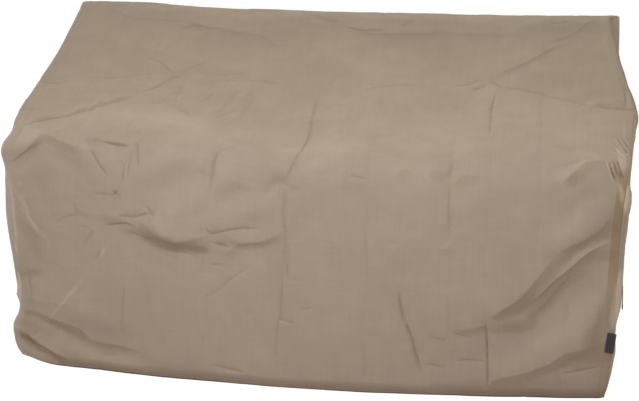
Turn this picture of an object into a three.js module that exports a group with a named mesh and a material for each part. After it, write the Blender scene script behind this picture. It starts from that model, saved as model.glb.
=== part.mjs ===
// Garden bench cover: a fitted, water-resistant cloth cover hanging on a three-seat garden bench.
// One long main panel runs from the front hem up the front, back up the slope, over the ridge and
// down the back. Two shaped side panels close its ends. A bare maker's tag is caught in the right
// front seam, and a short webbing tab hangs on the right side panel.
// Millimetres, +Z up, front facing -Y, origin on the ground under the middle of the cover.
import * as THREE from "three";

// Sheets
const CLOTH_THICKNESS = 2;
const INNER_FACE = 5; // the face group of a BoxGeometry that looks along -Z
const SEAM_GAP = 0.3; // between a side panel and the rim of the main panel
const RIM_BEVEL = 2.5; // the inner face of the main panel is this much narrower at each end

// Cloth lengths of the main panel, measured up the cloth from its front hem
const FRONT_LENGTH = 650;
const SLOPE_LENGTH = 700;
const RIDGE_LENGTH = 60;
const BACK_LENGTH = 890;
const SLOPE_START = FRONT_LENGTH;
const RIDGE_START = SLOPE_START + SLOPE_LENGTH;
const BACK_START = RIDGE_START + RIDGE_LENGTH;
const PANEL_LENGTH = BACK_START + BACK_LENGTH;

// The back of the cover
const RIDGE_BACK_Y = 352;
const BACK_HEM_Y = 404;
const BACK_BULGE = 14;

// How the cloth turns over the bench's edges: half the length of cloth that the turn over the ridge takes,
// and where up the slope the turn of the shoulder gives way to it
const RIDGE_TURN = 34;
const TURN_CHANGE = { from: 900, to: 1250 };
const TURN_SAMPLES = 7;

// The mesh of the panels
const PANEL_COLUMNS = 36;
const SIDE_COLUMNS = 8;
const ROW_SPANS = [
  { name: "front", to: 560, rows: 13 },
  { name: "shoulder", to: 720, rows: 5 },
  { name: "slope", to: 1300, rows: 13 },
  { name: "ridge", to: 1440, rows: 6 },
  { name: "back", to: PANEL_LENGTH, rows: 10 },
];
const SLOPE_TOP_ROW = 34; // the row along the top of the ridge, where both side panels end

// Half widths of the main panel, by the length of cloth above the front hem
const REACH = [
  { up: 0, left: -820, right: 795 },
  { up: 50, left: -830, right: 801 },
  { up: 100, left: -834, right: 805 },
  { up: 140, left: -817, right: 807 },
  { up: 180, left: -810, right: 808 },
  { up: 300, left: -820, right: 810 },
  { up: 450, left: -834, right: 813 },
  { up: 570, left: -832, right: 820 },
  { up: 640, left: -841, right: 828 },
  { up: 710, left: -828, right: 833 },
  { up: 800, left: -834, right: 838 },
  { up: 920, left: -829, right: 845 },
  { up: 1000, left: -822, right: 838 },
  { up: 1140, left: -800, right: 811 },
  { up: 1240, left: -791, right: 797 },
  { up: 1350, left: -781, right: 783 },
  { up: 1410, left: -784, right: 811 },
  { up: 1800, left: -805, right: 816 },
  { up: 2300, left: -800, right: 808 },
];

// Upright sections across the bench. The shoulder is the front edge of the top, and turn is half the
// length of cloth that comes round it.
const SECTIONS = [
  { at: -800, hemY: -354, hemZ: 22, belly: 14, shoulderY: -352, shoulderZ: 634,
    sag: 22, ridgeZ: 904, turn: 26 },
  { at: -700, hemY: -372, hemZ: 11, belly: 12, shoulderY: -350, shoulderZ: 664,
    sag: 34, ridgeZ: 905, turn: 32 },
  { at: -580, hemY: -381, hemZ: 5, belly: 6, shoulderY: -354, shoulderZ: 650,
    sag: 42, ridgeZ: 903, turn: 55 },
  { at: -420, hemY: -394, hemZ: 2, belly: 4, shoulderY: -358, shoulderZ: 656,
    sag: 48, ridgeZ: 897, turn: 85 },
  { at: -240, hemY: -404, hemZ: 0, belly: 4, shoulderY: -358, shoulderZ: 656,
    sag: 54, ridgeZ: 895, turn: 85 },
  { at: -75, hemY: -414, hemZ: 0, belly: 2, shoulderY: -352, shoulderZ: 628,
    sag: 56, ridgeZ: 893, turn: 60 },
  { at: 110, hemY: -418, hemZ: 0, belly: 4, shoulderY: -356, shoulderZ: 660,
    sag: 54, ridgeZ: 892, turn: 85 },
  { at: 320, hemY: -411, hemZ: 0, belly: 8, shoulderY: -358, shoulderZ: 644,
    sag: 52, ridgeZ: 893, turn: 85 },
  { at: 520, hemY: -397, hemZ: 0, belly: 12, shoulderY: -358, shoulderZ: 662,
    sag: 46, ridgeZ: 895, turn: 80 },
  { at: 680, hemY: -383, hemZ: 0, belly: 14, shoulderY: -354, shoulderZ: 656,
    sag: 36, ridgeZ: 899, turn: 60 },
  { at: 800, hemY: -368, hemZ: 0, belly: 12, shoulderY: -350, shoulderZ: 654,
    sag: 26, ridgeZ: 902, turn: 34 },
];
const RIDGE_FRONT_Y = 292;

// Folds of the cloth. A route gives [across, up the cloth] places, the height is how far the fold
// stands out (less than 0 for a trough), and above and below are its widths on either side.
const FOLDS = [
  { name: "belly", height: 30, above: 170, below: 50,
    route: [[-500, 448], [-451, 439], [-400, 420], [-262, 402]] },
  { name: "arm_left", height: 5, above: 60, below: 60,
    route: [[-800, 700], [-640, 668], [-500, 665]] },
  { name: "arm_left_side", height: -16, above: 60, below: 60,
    route: [[-835, 600], [-720, 640]] },
  { name: "pinch", height: -14, above: 80, below: 70,
    route: [[-110, 590], [-75, 560]] },
  { name: "front_rise_a", height: 7, above: 50, below: 40,
    route: [[-320, 480], [-260, 530], [-200, 590]] },
  { name: "front_rise_b", height: 6, above: 50, below: 40,
    route: [[-225, 445], [-170, 490], [-120, 540]] },
  { name: "front_rise_c", height: 7, above: 60, below: 60,
    route: [[-480, 560], [-380, 620], [-330, 680]] },
  { name: "front_hollow", height: -8, above: 60, below: 60,
    route: [[-420, 500], [-350, 540], [-290, 600]] },
  { name: "centre_rise", height: 12, above: 90, below: 90,
    route: [[40, 660], [60, 600]] },
  { name: "seat_crease_left", height: -5, above: 80, below: 60,
    route: [[-840, 985], [-640, 1015], [-400, 1085]] },
  { name: "seat_crease_right", height: -6, above: 80, below: 60,
    route: [[420, 1080], [619, 1012], [870, 925]] },
  { name: "arm_rise", height: 12, above: 130, below: 80,
    route: [[-520, 940], [-620, 850], [-720, 790], [-860, 770]] },
  { name: "brace_crease", height: -5, above: 60, below: 60,
    route: [[440, 1080], [614, 1210], [739, 1330]] },
  { name: "shoulder_dip", height: -8, above: 60, below: 60,
    route: [[368, 760], [370, 640], [373, 500]] },
  { name: "pull_top", height: 10, above: 34, below: 110,
    route: [[640, 580], [690, 625], [790, 660]] },
  { name: "pull_high", height: 10, above: 60, below: 40,
    route: [[800, 560], [700, 460], [630, 425]] },
  { name: "pull_main", height: -18, above: 90, below: 90,
    route: [[800, 440], [735, 345], [650, 255], [540, 165], [430, 120]] },
  { name: "pull_low", height: 12, above: 60, below: 60,
    route: [[800, 290], [720, 175], [610, 105]] },
  { name: "corner_left", height: -10, above: 50, below: 50,
    route: [[-826, 100], [-673, 20]] },
  { name: "corner_lobe", height: 10, above: 36, below: 40,
    route: [[-830, 40], [-760, 14], [-680, 0]] },
  { name: "band_left", height: -18, above: 80, below: 50,
    route: [[-800, 140], [-700, 105], [-560, 75], [-440, 60]] },
  { name: "band_left_rise", height: 8, above: 60, below: 60,
    route: [[-800, 235], [-700, 190], [-600, 150]] },
  { name: "side_left", height: 10, above: 60, below: 60,
    route: [[-812, 550], [-727, 372]] },
  { name: "ridge_roll", height: -15, above: 42, below: 150,
    route: [[-720, 1330], [-600, 1290], [-450, 1305], [-350, 1272], [-230, 1258], [-130, 1300],
      [10, 1318], [90, 1290], [300, 1296], [400, 1282], [530, 1275], [700, 1300]] },
];

// How far the side panels stand out, by height, as a share of the depth of the cover
const SIDE_BULGE = [
  { z: 0, left: 8, right: 2 },
  { z: 110, left: 12, right: 12 },
  { z: 200, left: 16, right: 9 },
  { z: 240, left: 17, right: 16 },
  { z: 400, left: 21, right: 16 },
  { z: 530, left: 21, right: 22 },
  { z: 600, left: 20, right: 13 },
  { z: 660, left: 16, right: 7 },
  { z: 705, left: 14, right: 12 },
  { z: 750, left: 12, right: 2 },
  { z: 810, left: 8, right: -2 },
  { z: 900, left: 4, right: 3 },
];
const BULGE_PLACE = { left: 0.32, right: 0.2 }; // where it stands out furthest, from front to back

// The shape of a fold: its height stays this share short of its ends, and its two widths blend over
// this length
const FOLD_ENDS = 0.12;
const WIDTH_BLEND = 12;

// The tag on the right front seam, sewn on a little inside it
const TAG = {
  width: 24, height: 56, thickness: 1.2, middleHeight: 162, inside: 14, clear: 3.8, leanDegrees: 5,
};

// The webbing tab that hangs from the right side panel
const TAB = { length: 100, width: 25, thickness: 1.6, top: 300, depth: 0.22, leansIn: 1, clear: 0.2 };
const TAB_ROWS = 6;

// Smooth reading of a table: a cubic through its rows, with the slope of the rows on either side.
function read(table, key, column, place) {
  const last = table.length - 1;
  if (place <= table[0][key]) return table[0][column];
  if (place >= table[last][key]) return table[last][column];
  let i = 0;
  while (place > table[i + 1][key]) i++;
  const slope = (j) => {
    const a = table[Math.max(j - 1, 0)];
    const b = table[Math.min(j + 1, last)];
    return (b[column] - a[column]) / (b[key] - a[key]);
  };
  const span = table[i + 1][key] - table[i][key];
  const t = (place - table[i][key]) / span;
  const from = table[i][column];
  const rise = table[i + 1][column] - from;
  const bend = (1 - t) * slope(i) * span - t * slope(i + 1) * span + (2 * t - 1) * rise;
  return from + rise * t + t * (1 - t) * bend;
}

// The short steps over which the direction of the cloth is taken: a share of its half width, and a length
const ACROSS_STEP = 0.01;
const UP_STEP = 4;

const mix = THREE.MathUtils.lerp;
const hump = (t) => 4 * t * (1 - t); // 0 at both ends, 1 in the middle

// The sharp outline of the cloth in one upright section, as [y, z].
function sharpProfile(section, up) {
  if (up <= SLOPE_START) {
    const t = up / FRONT_LENGTH;
    const y = mix(section.hemY, section.shoulderY, t) - section.belly * hump(t);
    return [y, mix(section.hemZ, section.shoulderZ, t)];
  }
  if (up <= RIDGE_START) {
    const t = (up - SLOPE_START) / SLOPE_LENGTH;
    const z = mix(section.shoulderZ, section.ridgeZ, t) - section.sag * hump(t);
    return [mix(section.shoulderY, RIDGE_FRONT_Y, t), z];
  }
  if (up <= BACK_START) {
    const t = (up - RIDGE_START) / RIDGE_LENGTH;
    return [mix(RIDGE_FRONT_Y, RIDGE_BACK_Y, t), section.ridgeZ];
  }
  const t = (up - BACK_START) / BACK_LENGTH;
  return [mix(RIDGE_BACK_Y, BACK_HEM_Y, t) + BACK_BULGE * hump(t), mix(section.ridgeZ, 0, t)];
}

// The same outline with its turns rounded: the mean over a short length of cloth.
function roundedProfile(section, up) {
  const change = THREE.MathUtils.smoothstep(up, TURN_CHANGE.from, TURN_CHANGE.to);
  const reach = Math.min(mix(section.turn, RIDGE_TURN, change), up, PANEL_LENGTH - up);
  let y = 0;
  let z = 0;
  for (let i = 0; i < TURN_SAMPLES; i++) {
    const shift = reach * ((2 * i) / (TURN_SAMPLES - 1) - 1);
    const [sharpY, sharpZ] = sharpProfile(section, up + shift);
    y += sharpY / TURN_SAMPLES;
    z += sharpZ / TURN_SAMPLES;
  }
  return [y, z];
}

// How far one fold lifts the cloth at a place on it, by the nearest part of its route.
function foldLift(fold, x, up) {
  const steps = fold.route.slice(1).map(([bx, bu], i) => {
    const [ax, au] = fold.route[i];
    const length = Math.hypot(bx - ax, bu - au);
    const along = ((x - ax) * (bx - ax) + (up - au) * (bu - au)) / length ** 2;
    const t = THREE.MathUtils.clamp(along, 0, 1);
    const offUp = up - mix(au, bu, t);
    return { length, done: t * length, offUp, distance: Math.hypot(x - mix(ax, bx, t), offUp) };
  });
  const nearest = steps.reduce((best, step) => (step.distance < best.distance ? step : best));
  const blend = THREE.MathUtils.smoothstep(nearest.offUp, -WIDTH_BLEND, WIDTH_BLEND);
  const share = nearest.distance / mix(fold.below, fold.above, blend);
  if (share >= 1) return 0;
  const sum = (list) => list.reduce((total, step) => total + step.length, 0);
  const along = (sum(steps.slice(0, steps.indexOf(nearest))) + nearest.done) / sum(steps);
  const ends = Math.sin(Math.PI * mix(FOLD_ENDS, 1 - FOLD_ENDS, along));
  return fold.height * ends * (1 - share ** 2) ** 2;
}

// The unfolded cloth at a place: across runs from -1 at the left seam to 1 at the right seam.
function smoothPoint(across, up) {
  const reach = read(REACH, "up", across < 0 ? "left" : "right", up);
  const x = Math.abs(across) * reach;
  const section = {};
  for (const column of ["hemY", "hemZ", "belly", "shoulderY", "shoulderZ", "sag", "ridgeZ", "turn"])
    section[column] = read(SECTIONS, "at", column, x);
  const [y, z] = roundedProfile(section, up);
  return new THREE.Vector3(x, y, z);
}

// The direction out of a surface given as a function of two values.
function outward(surface, a, b, stepA, stepB) {
  const alongA = surface(a + stepA, b).sub(surface(a - stepA, b));
  const alongB = surface(a, b + stepB).sub(surface(a, b - stepB));
  return alongA.cross(alongB).normalize();
}

// The outer face of the main panel, folds included.
function panelPoint(across, up) {
  const held = THREE.MathUtils.clamp(across, -1, 1);
  const point = smoothPoint(held, up);
  const lift = FOLDS.reduce((sum, fold) => sum + foldLift(fold, point.x, up), 0);
  const inside = THREE.MathUtils.clamp(held, ACROSS_STEP - 1, 1 - ACROSS_STEP);
  const normal = outward(smoothPoint, inside, up, ACROSS_STEP, UP_STEP);
  normal.x = 0; // the seams stay where they are
  return point.addScaledVector(normal.normalize(), lift);
}

// Splits the inner face of a box along the same diagonals as its outer face.
function turnDiagonals(geometry) {
  const { start, count } = geometry.groups[INNER_FACE];
  const index = geometry.index;
  for (let i = start; i < start + count; i += 6) {
    const [a, b, d, , c] = index.array.slice(i, i + 6);
    index.array.set([a, b, c, a, c, d], i);
  }
}

// A closed sheet: a thin box whose two large faces are carried to an outer and an inner surface.
function sheet(columns, rows, outer, inner) {
  const geometry = new THREE.BoxGeometry(1, 1, 1, columns, rows, 1);
  const position = geometry.getAttribute("position");
  for (let i = 0; i < position.count; i++) {
    const column = Math.round((position.getX(i) + 0.5) * columns);
    const row = Math.round((position.getY(i) + 0.5) * rows);
    const point = position.getZ(i) > 0 ? outer(column, row) : inner(column, row);
    position.setXYZ(i, point.x, point.y, point.z);
  }
  turnDiagonals(geometry);
  geometry.computeVertexNormals();
  return geometry;
}

// The places of the rows on the cloth, and the grid of points of the main panel
const rowPlaces = [0];
for (const span of ROW_SPANS) {
  const from = rowPlaces[rowPlaces.length - 1];
  for (let i = 1; i <= span.rows; i++) rowPlaces.push(mix(from, span.to, i / span.rows));
}
const panelRows = rowPlaces.length - 1;
const acrossOf = (column) => (2 * column) / PANEL_COLUMNS - 1;
const panelGrid = rowPlaces.map((up) =>
  Array.from({ length: PANEL_COLUMNS + 1 }, (_, column) => panelPoint(acrossOf(column), up)),
);

function panelNormal(column, row) {
  const at = (c, r) =>
    panelGrid[THREE.MathUtils.clamp(r, 0, panelRows)][THREE.MathUtils.clamp(c, 0, PANEL_COLUMNS)].clone();
  return outward(at, column, row, 1, 1);
}

function mainPanel() {
  const inner = (column, row) => {
    const point = panelGrid[row][column].clone();
    point.addScaledVector(panelNormal(column, row), -CLOTH_THICKNESS);
    point.x = panelGrid[row][column].x - RIM_BEVEL * acrossOf(column);
    return point;
  };
  return sheet(PANEL_COLUMNS, panelRows, (column, row) => panelGrid[row][column], inner);
}

// A point on the back rim of one end of the main panel, at a share of its height.
function backRim(rim, share) {
  const back = rim.slice(SLOPE_TOP_ROW + 1).reverse();
  const height = mix(back[0].z, back[back.length - 1].z, share);
  let i = 0;
  while (i < back.length - 2 && back[i + 1].z < height) i++;
  const t = (height - back[i].z) / (back[i + 1].z - back[i].z);
  return back[i].clone().lerp(back[i + 1], t);
}

// The inner face of a side panel: rows from the front rim of the main panel to its back rim.
function sidePoint(side, depth, row) {
  const rim = panelGrid.map((points) => points[side < 0 ? 0 : PANEL_COLUMNS]);
  const front = rim[row];
  const low = rim[0].z;
  const back = backRim(rim, (front.z - low) / (rim[SLOPE_TOP_ROW - 1].z - low));
  const point = front.clone().lerp(back, depth);
  const end = side < 0 ? "left" : "right";
  const bend = Math.log(0.5) / Math.log(BULGE_PLACE[end]);
  const bulge = read(SIDE_BULGE, "z", end, point.z);
  point.x += side * (SEAM_GAP + bulge * hump(depth ** bend));
  return point;
}

function sidePanel(side) {
  const rows = SLOPE_TOP_ROW - 1;
  const depthOf = (column) => (side > 0 ? column : SIDE_COLUMNS - column) / SIDE_COLUMNS;
  const inner = (column, row) => sidePoint(side, depthOf(column), row);
  const outer = (column, row) => {
    const point = inner(column, row);
    point.x += side * CLOTH_THICKNESS;
    return point;
  };
  return sheet(SIDE_COLUMNS, rows, outer, inner);
}

// The tag stands out past the right front seam, leaning with it.
function tag() {
  const seam = panelPoint(1, TAG.middleHeight);
  const geometry = new THREE.BoxGeometry(TAG.width, TAG.thickness, TAG.height);
  geometry.rotateY(THREE.MathUtils.degToRad(TAG.leanDegrees));
  return geometry.translate(seam.x - TAG.inside + TAG.width / 2, seam.y - TAG.clear, TAG.middleHeight);
}

// The tab is sewn on at its top and hangs a little off the cloth at its bottom.
function webbingTab() {
  const rim = panelGrid.map((points) => points[PANEL_COLUMNS]);
  const above = rim.findIndex((point) => point.z > TAB.top);
  const [low, high] = [above - 1, above].map((row) => sidePoint(1, TAB.depth, row));
  const head = low.lerp(high, (TAB.top - low.z) / (high.z - low.z));
  const face = (stand) => (column, row) => {
    const drop = 1 - row / TAB_ROWS;
    const off = CLOTH_THICKNESS + TAB.clear - TAB.leansIn * drop + stand;
    const y = head.y + TAB.width * (column - 0.5);
    return new THREE.Vector3(head.x + off, y, TAB.top - TAB.length * drop);
  };
  return sheet(1, TAB_ROWS, face(TAB.thickness), face(0));
}

const cloth = { color: 0xa59681, roughness: 0.62, metalness: 0 };
const PIECES = [
  { name: "main_panel", geometry: mainPanel(), look: cloth },
  { name: "side_panel_left", geometry: sidePanel(-1), look: cloth },
  { name: "side_panel_right", geometry: sidePanel(1), look: cloth },
  { name: "seam_tag", geometry: tag(), look: { color: 0x2b2a2c, roughness: 0.7, metalness: 0 } },
  { name: "webbing_tab", geometry: webbingTab(), look: { color: 0x3a3835, roughness: 0.75, metalness: 0 } },
];

const cover = new THREE.Group();
cover.name = "garden_bench_cover";
for (const { name, geometry, look } of PIECES) {
  const mesh = new THREE.Mesh(geometry, new THREE.MeshStandardMaterial(look));
  mesh.name = name;
  cover.add(mesh);
}

export default cover;
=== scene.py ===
"""Garden bench cover, dressed: the cloth in its folds, its seams and stitches, the bare tag and the
webbing tab, on a pale floor in soft studio light.

The cloth follows the solids of the part: the same sections, reach and main folds, in millimetres.
A place on the main panel is given across the bench, and up the cloth from the front hem.
"""
import math
from collections import namedtuple

import bpy
import numpy as np
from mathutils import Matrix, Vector
from mathutils.geometry import delaunay_2d_cdt
from mathutils.kdtree import KDTree


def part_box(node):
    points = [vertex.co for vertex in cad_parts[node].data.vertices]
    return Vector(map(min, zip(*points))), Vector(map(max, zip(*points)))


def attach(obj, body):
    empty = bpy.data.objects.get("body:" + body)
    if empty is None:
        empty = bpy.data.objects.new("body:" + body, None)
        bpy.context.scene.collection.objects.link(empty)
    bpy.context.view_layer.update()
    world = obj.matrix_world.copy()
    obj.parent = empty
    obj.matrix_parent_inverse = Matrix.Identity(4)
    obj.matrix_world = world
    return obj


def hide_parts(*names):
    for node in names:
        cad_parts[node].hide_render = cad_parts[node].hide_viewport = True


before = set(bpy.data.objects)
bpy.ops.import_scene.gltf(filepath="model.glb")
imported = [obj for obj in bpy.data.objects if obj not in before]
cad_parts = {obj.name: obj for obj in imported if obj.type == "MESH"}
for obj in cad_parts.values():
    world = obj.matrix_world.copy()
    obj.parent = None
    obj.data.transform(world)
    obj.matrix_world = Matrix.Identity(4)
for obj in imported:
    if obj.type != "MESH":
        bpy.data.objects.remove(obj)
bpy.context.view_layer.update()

MM = 0.001
SEED = 7

# ---------------------------------------------------------------- sizes of the cloth, millimetres
FRONT_LENGTH = 650
SLOPE_LENGTH = 700
RIDGE_LENGTH = 60
BACK_LENGTH = 890
RIDGE_START = FRONT_LENGTH + SLOPE_LENGTH
BACK_START = RIDGE_START + RIDGE_LENGTH
PANEL_LENGTH = BACK_START + BACK_LENGTH
RIDGE_FRONT_Y = 292
RIDGE_BACK_Y = 352
BACK_HEM_Y = 404
BACK_BULGE = 14
RIDGE_TURN = 34
TURN_SAMPLES = 15
SIDE_TOP = (1372, 1388)  # where the front and the back edge of a side panel end, on the ridge
RIDGE_TURN_FROM = (900, 1250)  # where, up the slope, the shoulder's turn gives way to the ridge's

CLOTH_THICKNESS = 1.0
HEM_DEPTH = 25
HEM_DRAWN_IN = 8
HEM_GROOVE = (1.2, 3)  # how deep and how wide the groove is that its stitches press
SEAM_BAND = 25
SEAM_RISE = 1.4
SEAM_STEPS = (4, 3)  # in how much of its width the doubled seam rises from the edge and falls again
SEAM_FADES = (520, 640)  # where, up the front, the seam turned onto the main panel ends
SEAM_SETTLES = 40  # how far from a seam the side panel still follows the main panel's creases
EDGE_WIDTH = 32
EDGE_TURN = (10, 5)  # how far the left and the right edge of the main panel fall back
EDGE_TURN_ENDS = (600, 700)

# How close together the points of the main panel's mesh are: all over, down the back, up the side
# edges and along the creases
CLOTH_STEP, BACK_STEP, RIM_STEP, CREASE_STEP = 11.6, 19, 7, 7.5
# How far beside a crease, inside a side seam and above the front hem there are more
CREASE_SIDES = (3, 8)
SEAM_SIDES = (3, 9, 16, SEAM_BAND - 3, SEAM_BAND, SEAM_BAND + 6)
HEM_SIDES = (3, 12, 22, 25, 28, 34)
HEM_ACROSS = np.arange(-784, 785, 8)
CLOSEST = 3.0
CLOTH_ACROSS, BACK_ACROSS = (-860, 870), (-800, 820)
BACK_UP = (BACK_START + 60, PANEL_LENGTH - 20)
LATTICE_GAP = 0.62 * CLOTH_STEP
CREASE_MARGIN, CLOSE_MARGIN, LATTICE_MARGIN = 4, 2, 5  # how far these points keep inside the edges
BARE_STEP, FOLDED_STEP, CREASED_STEP = 4, 3, 2  # over how far the direction of the cloth is taken
RIM_HEM, RIM_START = (0, 3, 12, 22, 26), 32  # the rows at a side panel's foot, and where even ones start
RIM_SAMPLES = 400
SIDE_COLUMNS = 90
SIDE_CROWDING = 1.35  # how much closer together these are towards the front seam

# How much shade is painted into the cloth's colour in its creases and under its turned edges
SHADE_LINE = 5  # half the width of the shade along a sunk crease
CREASE_SHADE, TURN_SHADE = 15, 17  # the height of a crease, and of a turned edge, that shades it fully
DEEPEST_SHADE = 0.8  # the most that a crease shades it
SHADE_ABOVE, SHADE_BELOW = 2, 0.6  # how far above a route it reaches, and which share of the width below
TURN_SHADE_EDGE = (0.7, 1.1)  # over which share of its width the shade of a turned edge fades

# How the sides of a crease fall: steeply at first, those of a turned edge a little so, those of a flat
# face evenly. A main fold changes from its width above to its width below over a short blend.
CREASE_POWER, TURN_POWER, FACE_POWER = 2, 1.2, 1
CREASE_EASE = 0.72  # how much of their height the creases keep, as the cloth eases
FOLD_BLEND = 12
WOBBLE, GATHER_WOBBLE, SIDE_WOBBLE = 1.2, 0.6, 1.5  # how far creases stray from their routes
WOBBLE_STEP = 30  # how far apart along a route it strays anew
GATHER_SHIFT, SIDE_SHIFT = 1.5, 14  # how far gathers and the side panels' folds are off their routes
SUNK_SHARE = 0.6  # how much of their height the folds keep on the right, where they only sink

# Unevenness of the cloth: height, size of a bump across and up, how far the noise is shifted across
# and up, and what is added to its seed
UNEVENNESS = ((3.2, 230, 190, 0, 0, 0), (1.3, 90, 75, 9, 0, 1), (0.55, 42, 36, 0, 5, 2))
BACK_UNEVENNESS = ((9, 105, 560, 0, 0, 3),)
BACK_UNEVEN_FROM = (BACK_START, BACK_START + 450)
SIDE_UNEVENNESS = ((5, 210, 260, 0, 0, 30), (2.4, 80, 100, 0, 0, 40))

TAG_WIDTH, TAG_HEIGHT, TAG_PLY = 24, 56, 0.5
TAG_PLACE = (801.5, 165)  # its middle, across and up
TAG_LEAN = math.radians(6)
TAG_BORDER = (10, 22)  # half the width and height of the line woven round it
TAG_HEMS = (5, 0.35)  # how deep its two turned ends are, and how much they stand proud
TAG_ROUNDING = (0.8, 0.9, 0.5)  # how far in its ends, its free edge and its sewn edge are rounded
TAG_SWELL = 0.5  # how much thicker its fold is, by share
TAG_CURL = 1.6
TAG_SWELLS, TAG_CURLS = (0.3, 0.95), (0.2, 1)  # where across it does
TAG_COLUMNS, TAG_ROWS, HEM_STEP = 17, 21, 0.6
TAB_WIDTH, TAB_LENGTH, TAB_THICKNESS = 25, 100, 1.5
TAB_TOP = 300
TAB_RIBS = 11
TAB_RIB_HEIGHT = 0.22
TAB_LEAN = 5
TAB_CLEAR = 0.3
TAB_SEARCH = 12  # how far above and below a place the tab has to clear the side panel
TAB_ROWS, TAB_ROUNDING, TAB_HEM_STEP = (34, 8), 0.8, 0.7  # rows above and on the hem; how edges ease
TAB_HEM = (14, 0.9)  # how much of its foot is folded double, and how much that stands proud

STITCH_PITCH, STITCH_LENGTH, STITCH_WIDTH, STITCH_HEIGHT = 5.0, 3.5, 0.85, 0.7
STITCH_ROWS = (4, 21)  # how far the rows of stitches are from a seam or from the edge of a hem
STITCH_UNEVENNESS = (0.9, 1.08)  # the smallest and the largest, by share
ROW_STEP = 6  # how far apart the points of the lines are that the stitches lie along

LEFT, RIGHT = 1, 2  # columns of the two tables that follow the side edges

# Half widths of the main panel, by the length of cloth above the front hem
REACH = np.array([
    # up, left, right
    (0, -820, 795),
    (50, -830, 801),
    (100, -834, 805),
    (140, -817, 807),
    (180, -810, 808),
    (300, -820, 810),
    (450, -834, 813),
    (570, -832, 820),
    (640, -841, 828),
    (710, -828, 833),
    (800, -834, 838),
    (920, -829, 845),
    (1000, -822, 838),
    (1140, -800, 811),
    (1240, -791, 797),
    (1350, -781, 783),
    (1410, -784, 811),
    (1800, -805, 816),
    (2300, -800, 808),
], float)

# The cloth's colour, and what it is multiplied by: painted shade in folds, the hem darker as doubled cloth
# and with painted shade, a painted shadow at its edge, the seams darker as doubled cloth and with painted
# shade, and painted light where it is paler
CLOTH_COLOUR = (0.381, 0.295, 0.221)
FOLD_TINT = (0.79, 0.69, 0.585)
HEM_TINT = (0.76, 0.695, 0.635)
HEM_SHADOW_TINT = (0.36, 0.33, 0.31)
SEAM_TINT = (0.83, 0.745, 0.57)
PAINTED_LIGHT_TINT = (1.6, 1.68, 1.74)
THREAD_COLOUR = (0.29, 0.22, 0.155)
TAG_COLOUR = (0.034, 0.031, 0.036)
WEBBING_COLOUR = (0.05, 0.046, 0.042)
WEAVE_PITCH = 0.9 * MM
WEAVE_HEIGHT = 0.11 * MM
CRUMPLE_HEIGHT = 0.5 * MM

# How blotches, streaks and threads change the cloth: from where to where in the noise or the weave,
# and the least and most they multiply its colour by, or its roughness at both ends
BLOTCHES, STREAKS = (0.3, 0.7, 0.96, 1.04), (0.35, 0.65, 0.972, 1.028)
THREADS = (0, 1, 0.955, 1.07)
CLOTH_ROUGHNESS = (0.3, 0.7, 0.62, 0.5)
FUZZ = (0.3, 0.7)

# How fine the noise is: blotches to a metre, how far streaks are drawn out level and upright, and the
# crumple of the cloth and the fuzz of yarn and thread
BLOTCH_SCALES, STREAK_FACTORS = (5, 17), ((9, 260, 1), (190, 7, 1))
CRUMPLE_SCALE, YARN_SCALE, THREAD_SCALE = 75, 900, 1400

# Where the front hem is darker, in metres up and across, as doubled cloth and with painted shade that
# deepens towards its edge, and the painted shadow right at its edge
HEM_SHADE_UP, HEM_SHADE_ACROSS, HEM_SHADOW_UP = (36 * MM, 6 * MM), (-0.8, -0.62), (4.5 * MM, 2 * MM)
BACK_HEM_UP = ((PANEL_LENGTH - SEAM_BAND - 6) * MM, (PANEL_LENGTH - SEAM_BAND + 2) * MM)
BACK_HEM_SHARE = 0.6

# Upright sections across the bench. The shoulder is the front edge of the top, and turn is the length
# of cloth on either side of it in which the cloth comes round.
SECTIONS = np.array([
    # at, hem y, hem z, belly, shoulder y, shoulder z, sag, ridge z, turn
    (-800, -354, 22, 14, -352, 634, 22, 904, 26),
    (-700, -372, 11, 12, -350, 664, 34, 905, 32),
    (-580, -381, 5, 6, -354, 650, 42, 903, 55),
    (-420, -394, 2, 4, -358, 656, 48, 897, 85),
    (-240, -404, 0, 4, -358, 656, 54, 895, 85),
    (-75, -414, 0, 2, -352, 628, 56, 893, 60),
    (110, -418, 0, 4, -356, 660, 54, 892, 85),
    (320, -411, 0, 8, -358, 644, 52, 893, 85),
    (520, -397, 0, 12, -358, 662, 46, 895, 80),
    (680, -383, 0, 14, -354, 656, 36, 899, 60),
    (800, -368, 0, 12, -350, 654, 26, 902, 34),
], float)

# How far the side panels stand out, by height
SIDE_BULGE = np.array([
    # z, left, right
    (0, 8, 2),
    (110, 12, 12),
    (200, 16, 9),
    (240, 17, 16),
    (400, 21, 16),
    (530, 21, 22),
    (600, 20, 13),
    (660, 16, 7),
    (705, 14, 12),
    (750, 12, 2),
    (810, 8, -2),
    (900, 4, 3),
], float)
BULGE_PLACE = {LEFT: 0.32, RIGHT: 0.2}

# How dark the doubled seam looks on its way up the cloth: darker as doubled cloth, and with painted shade
# that changes with its height
SEAM_SHADE = (
    (0, 0.35), (110, 0.35), (190, 0.15), (250, 0.3), (300, 0.5), (345, 0.9), (540, 1), (610, 0.5),
    (660, 0.1), (1400, 0.1))
SIDE_SEAM_SHADE = 0.3
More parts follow.
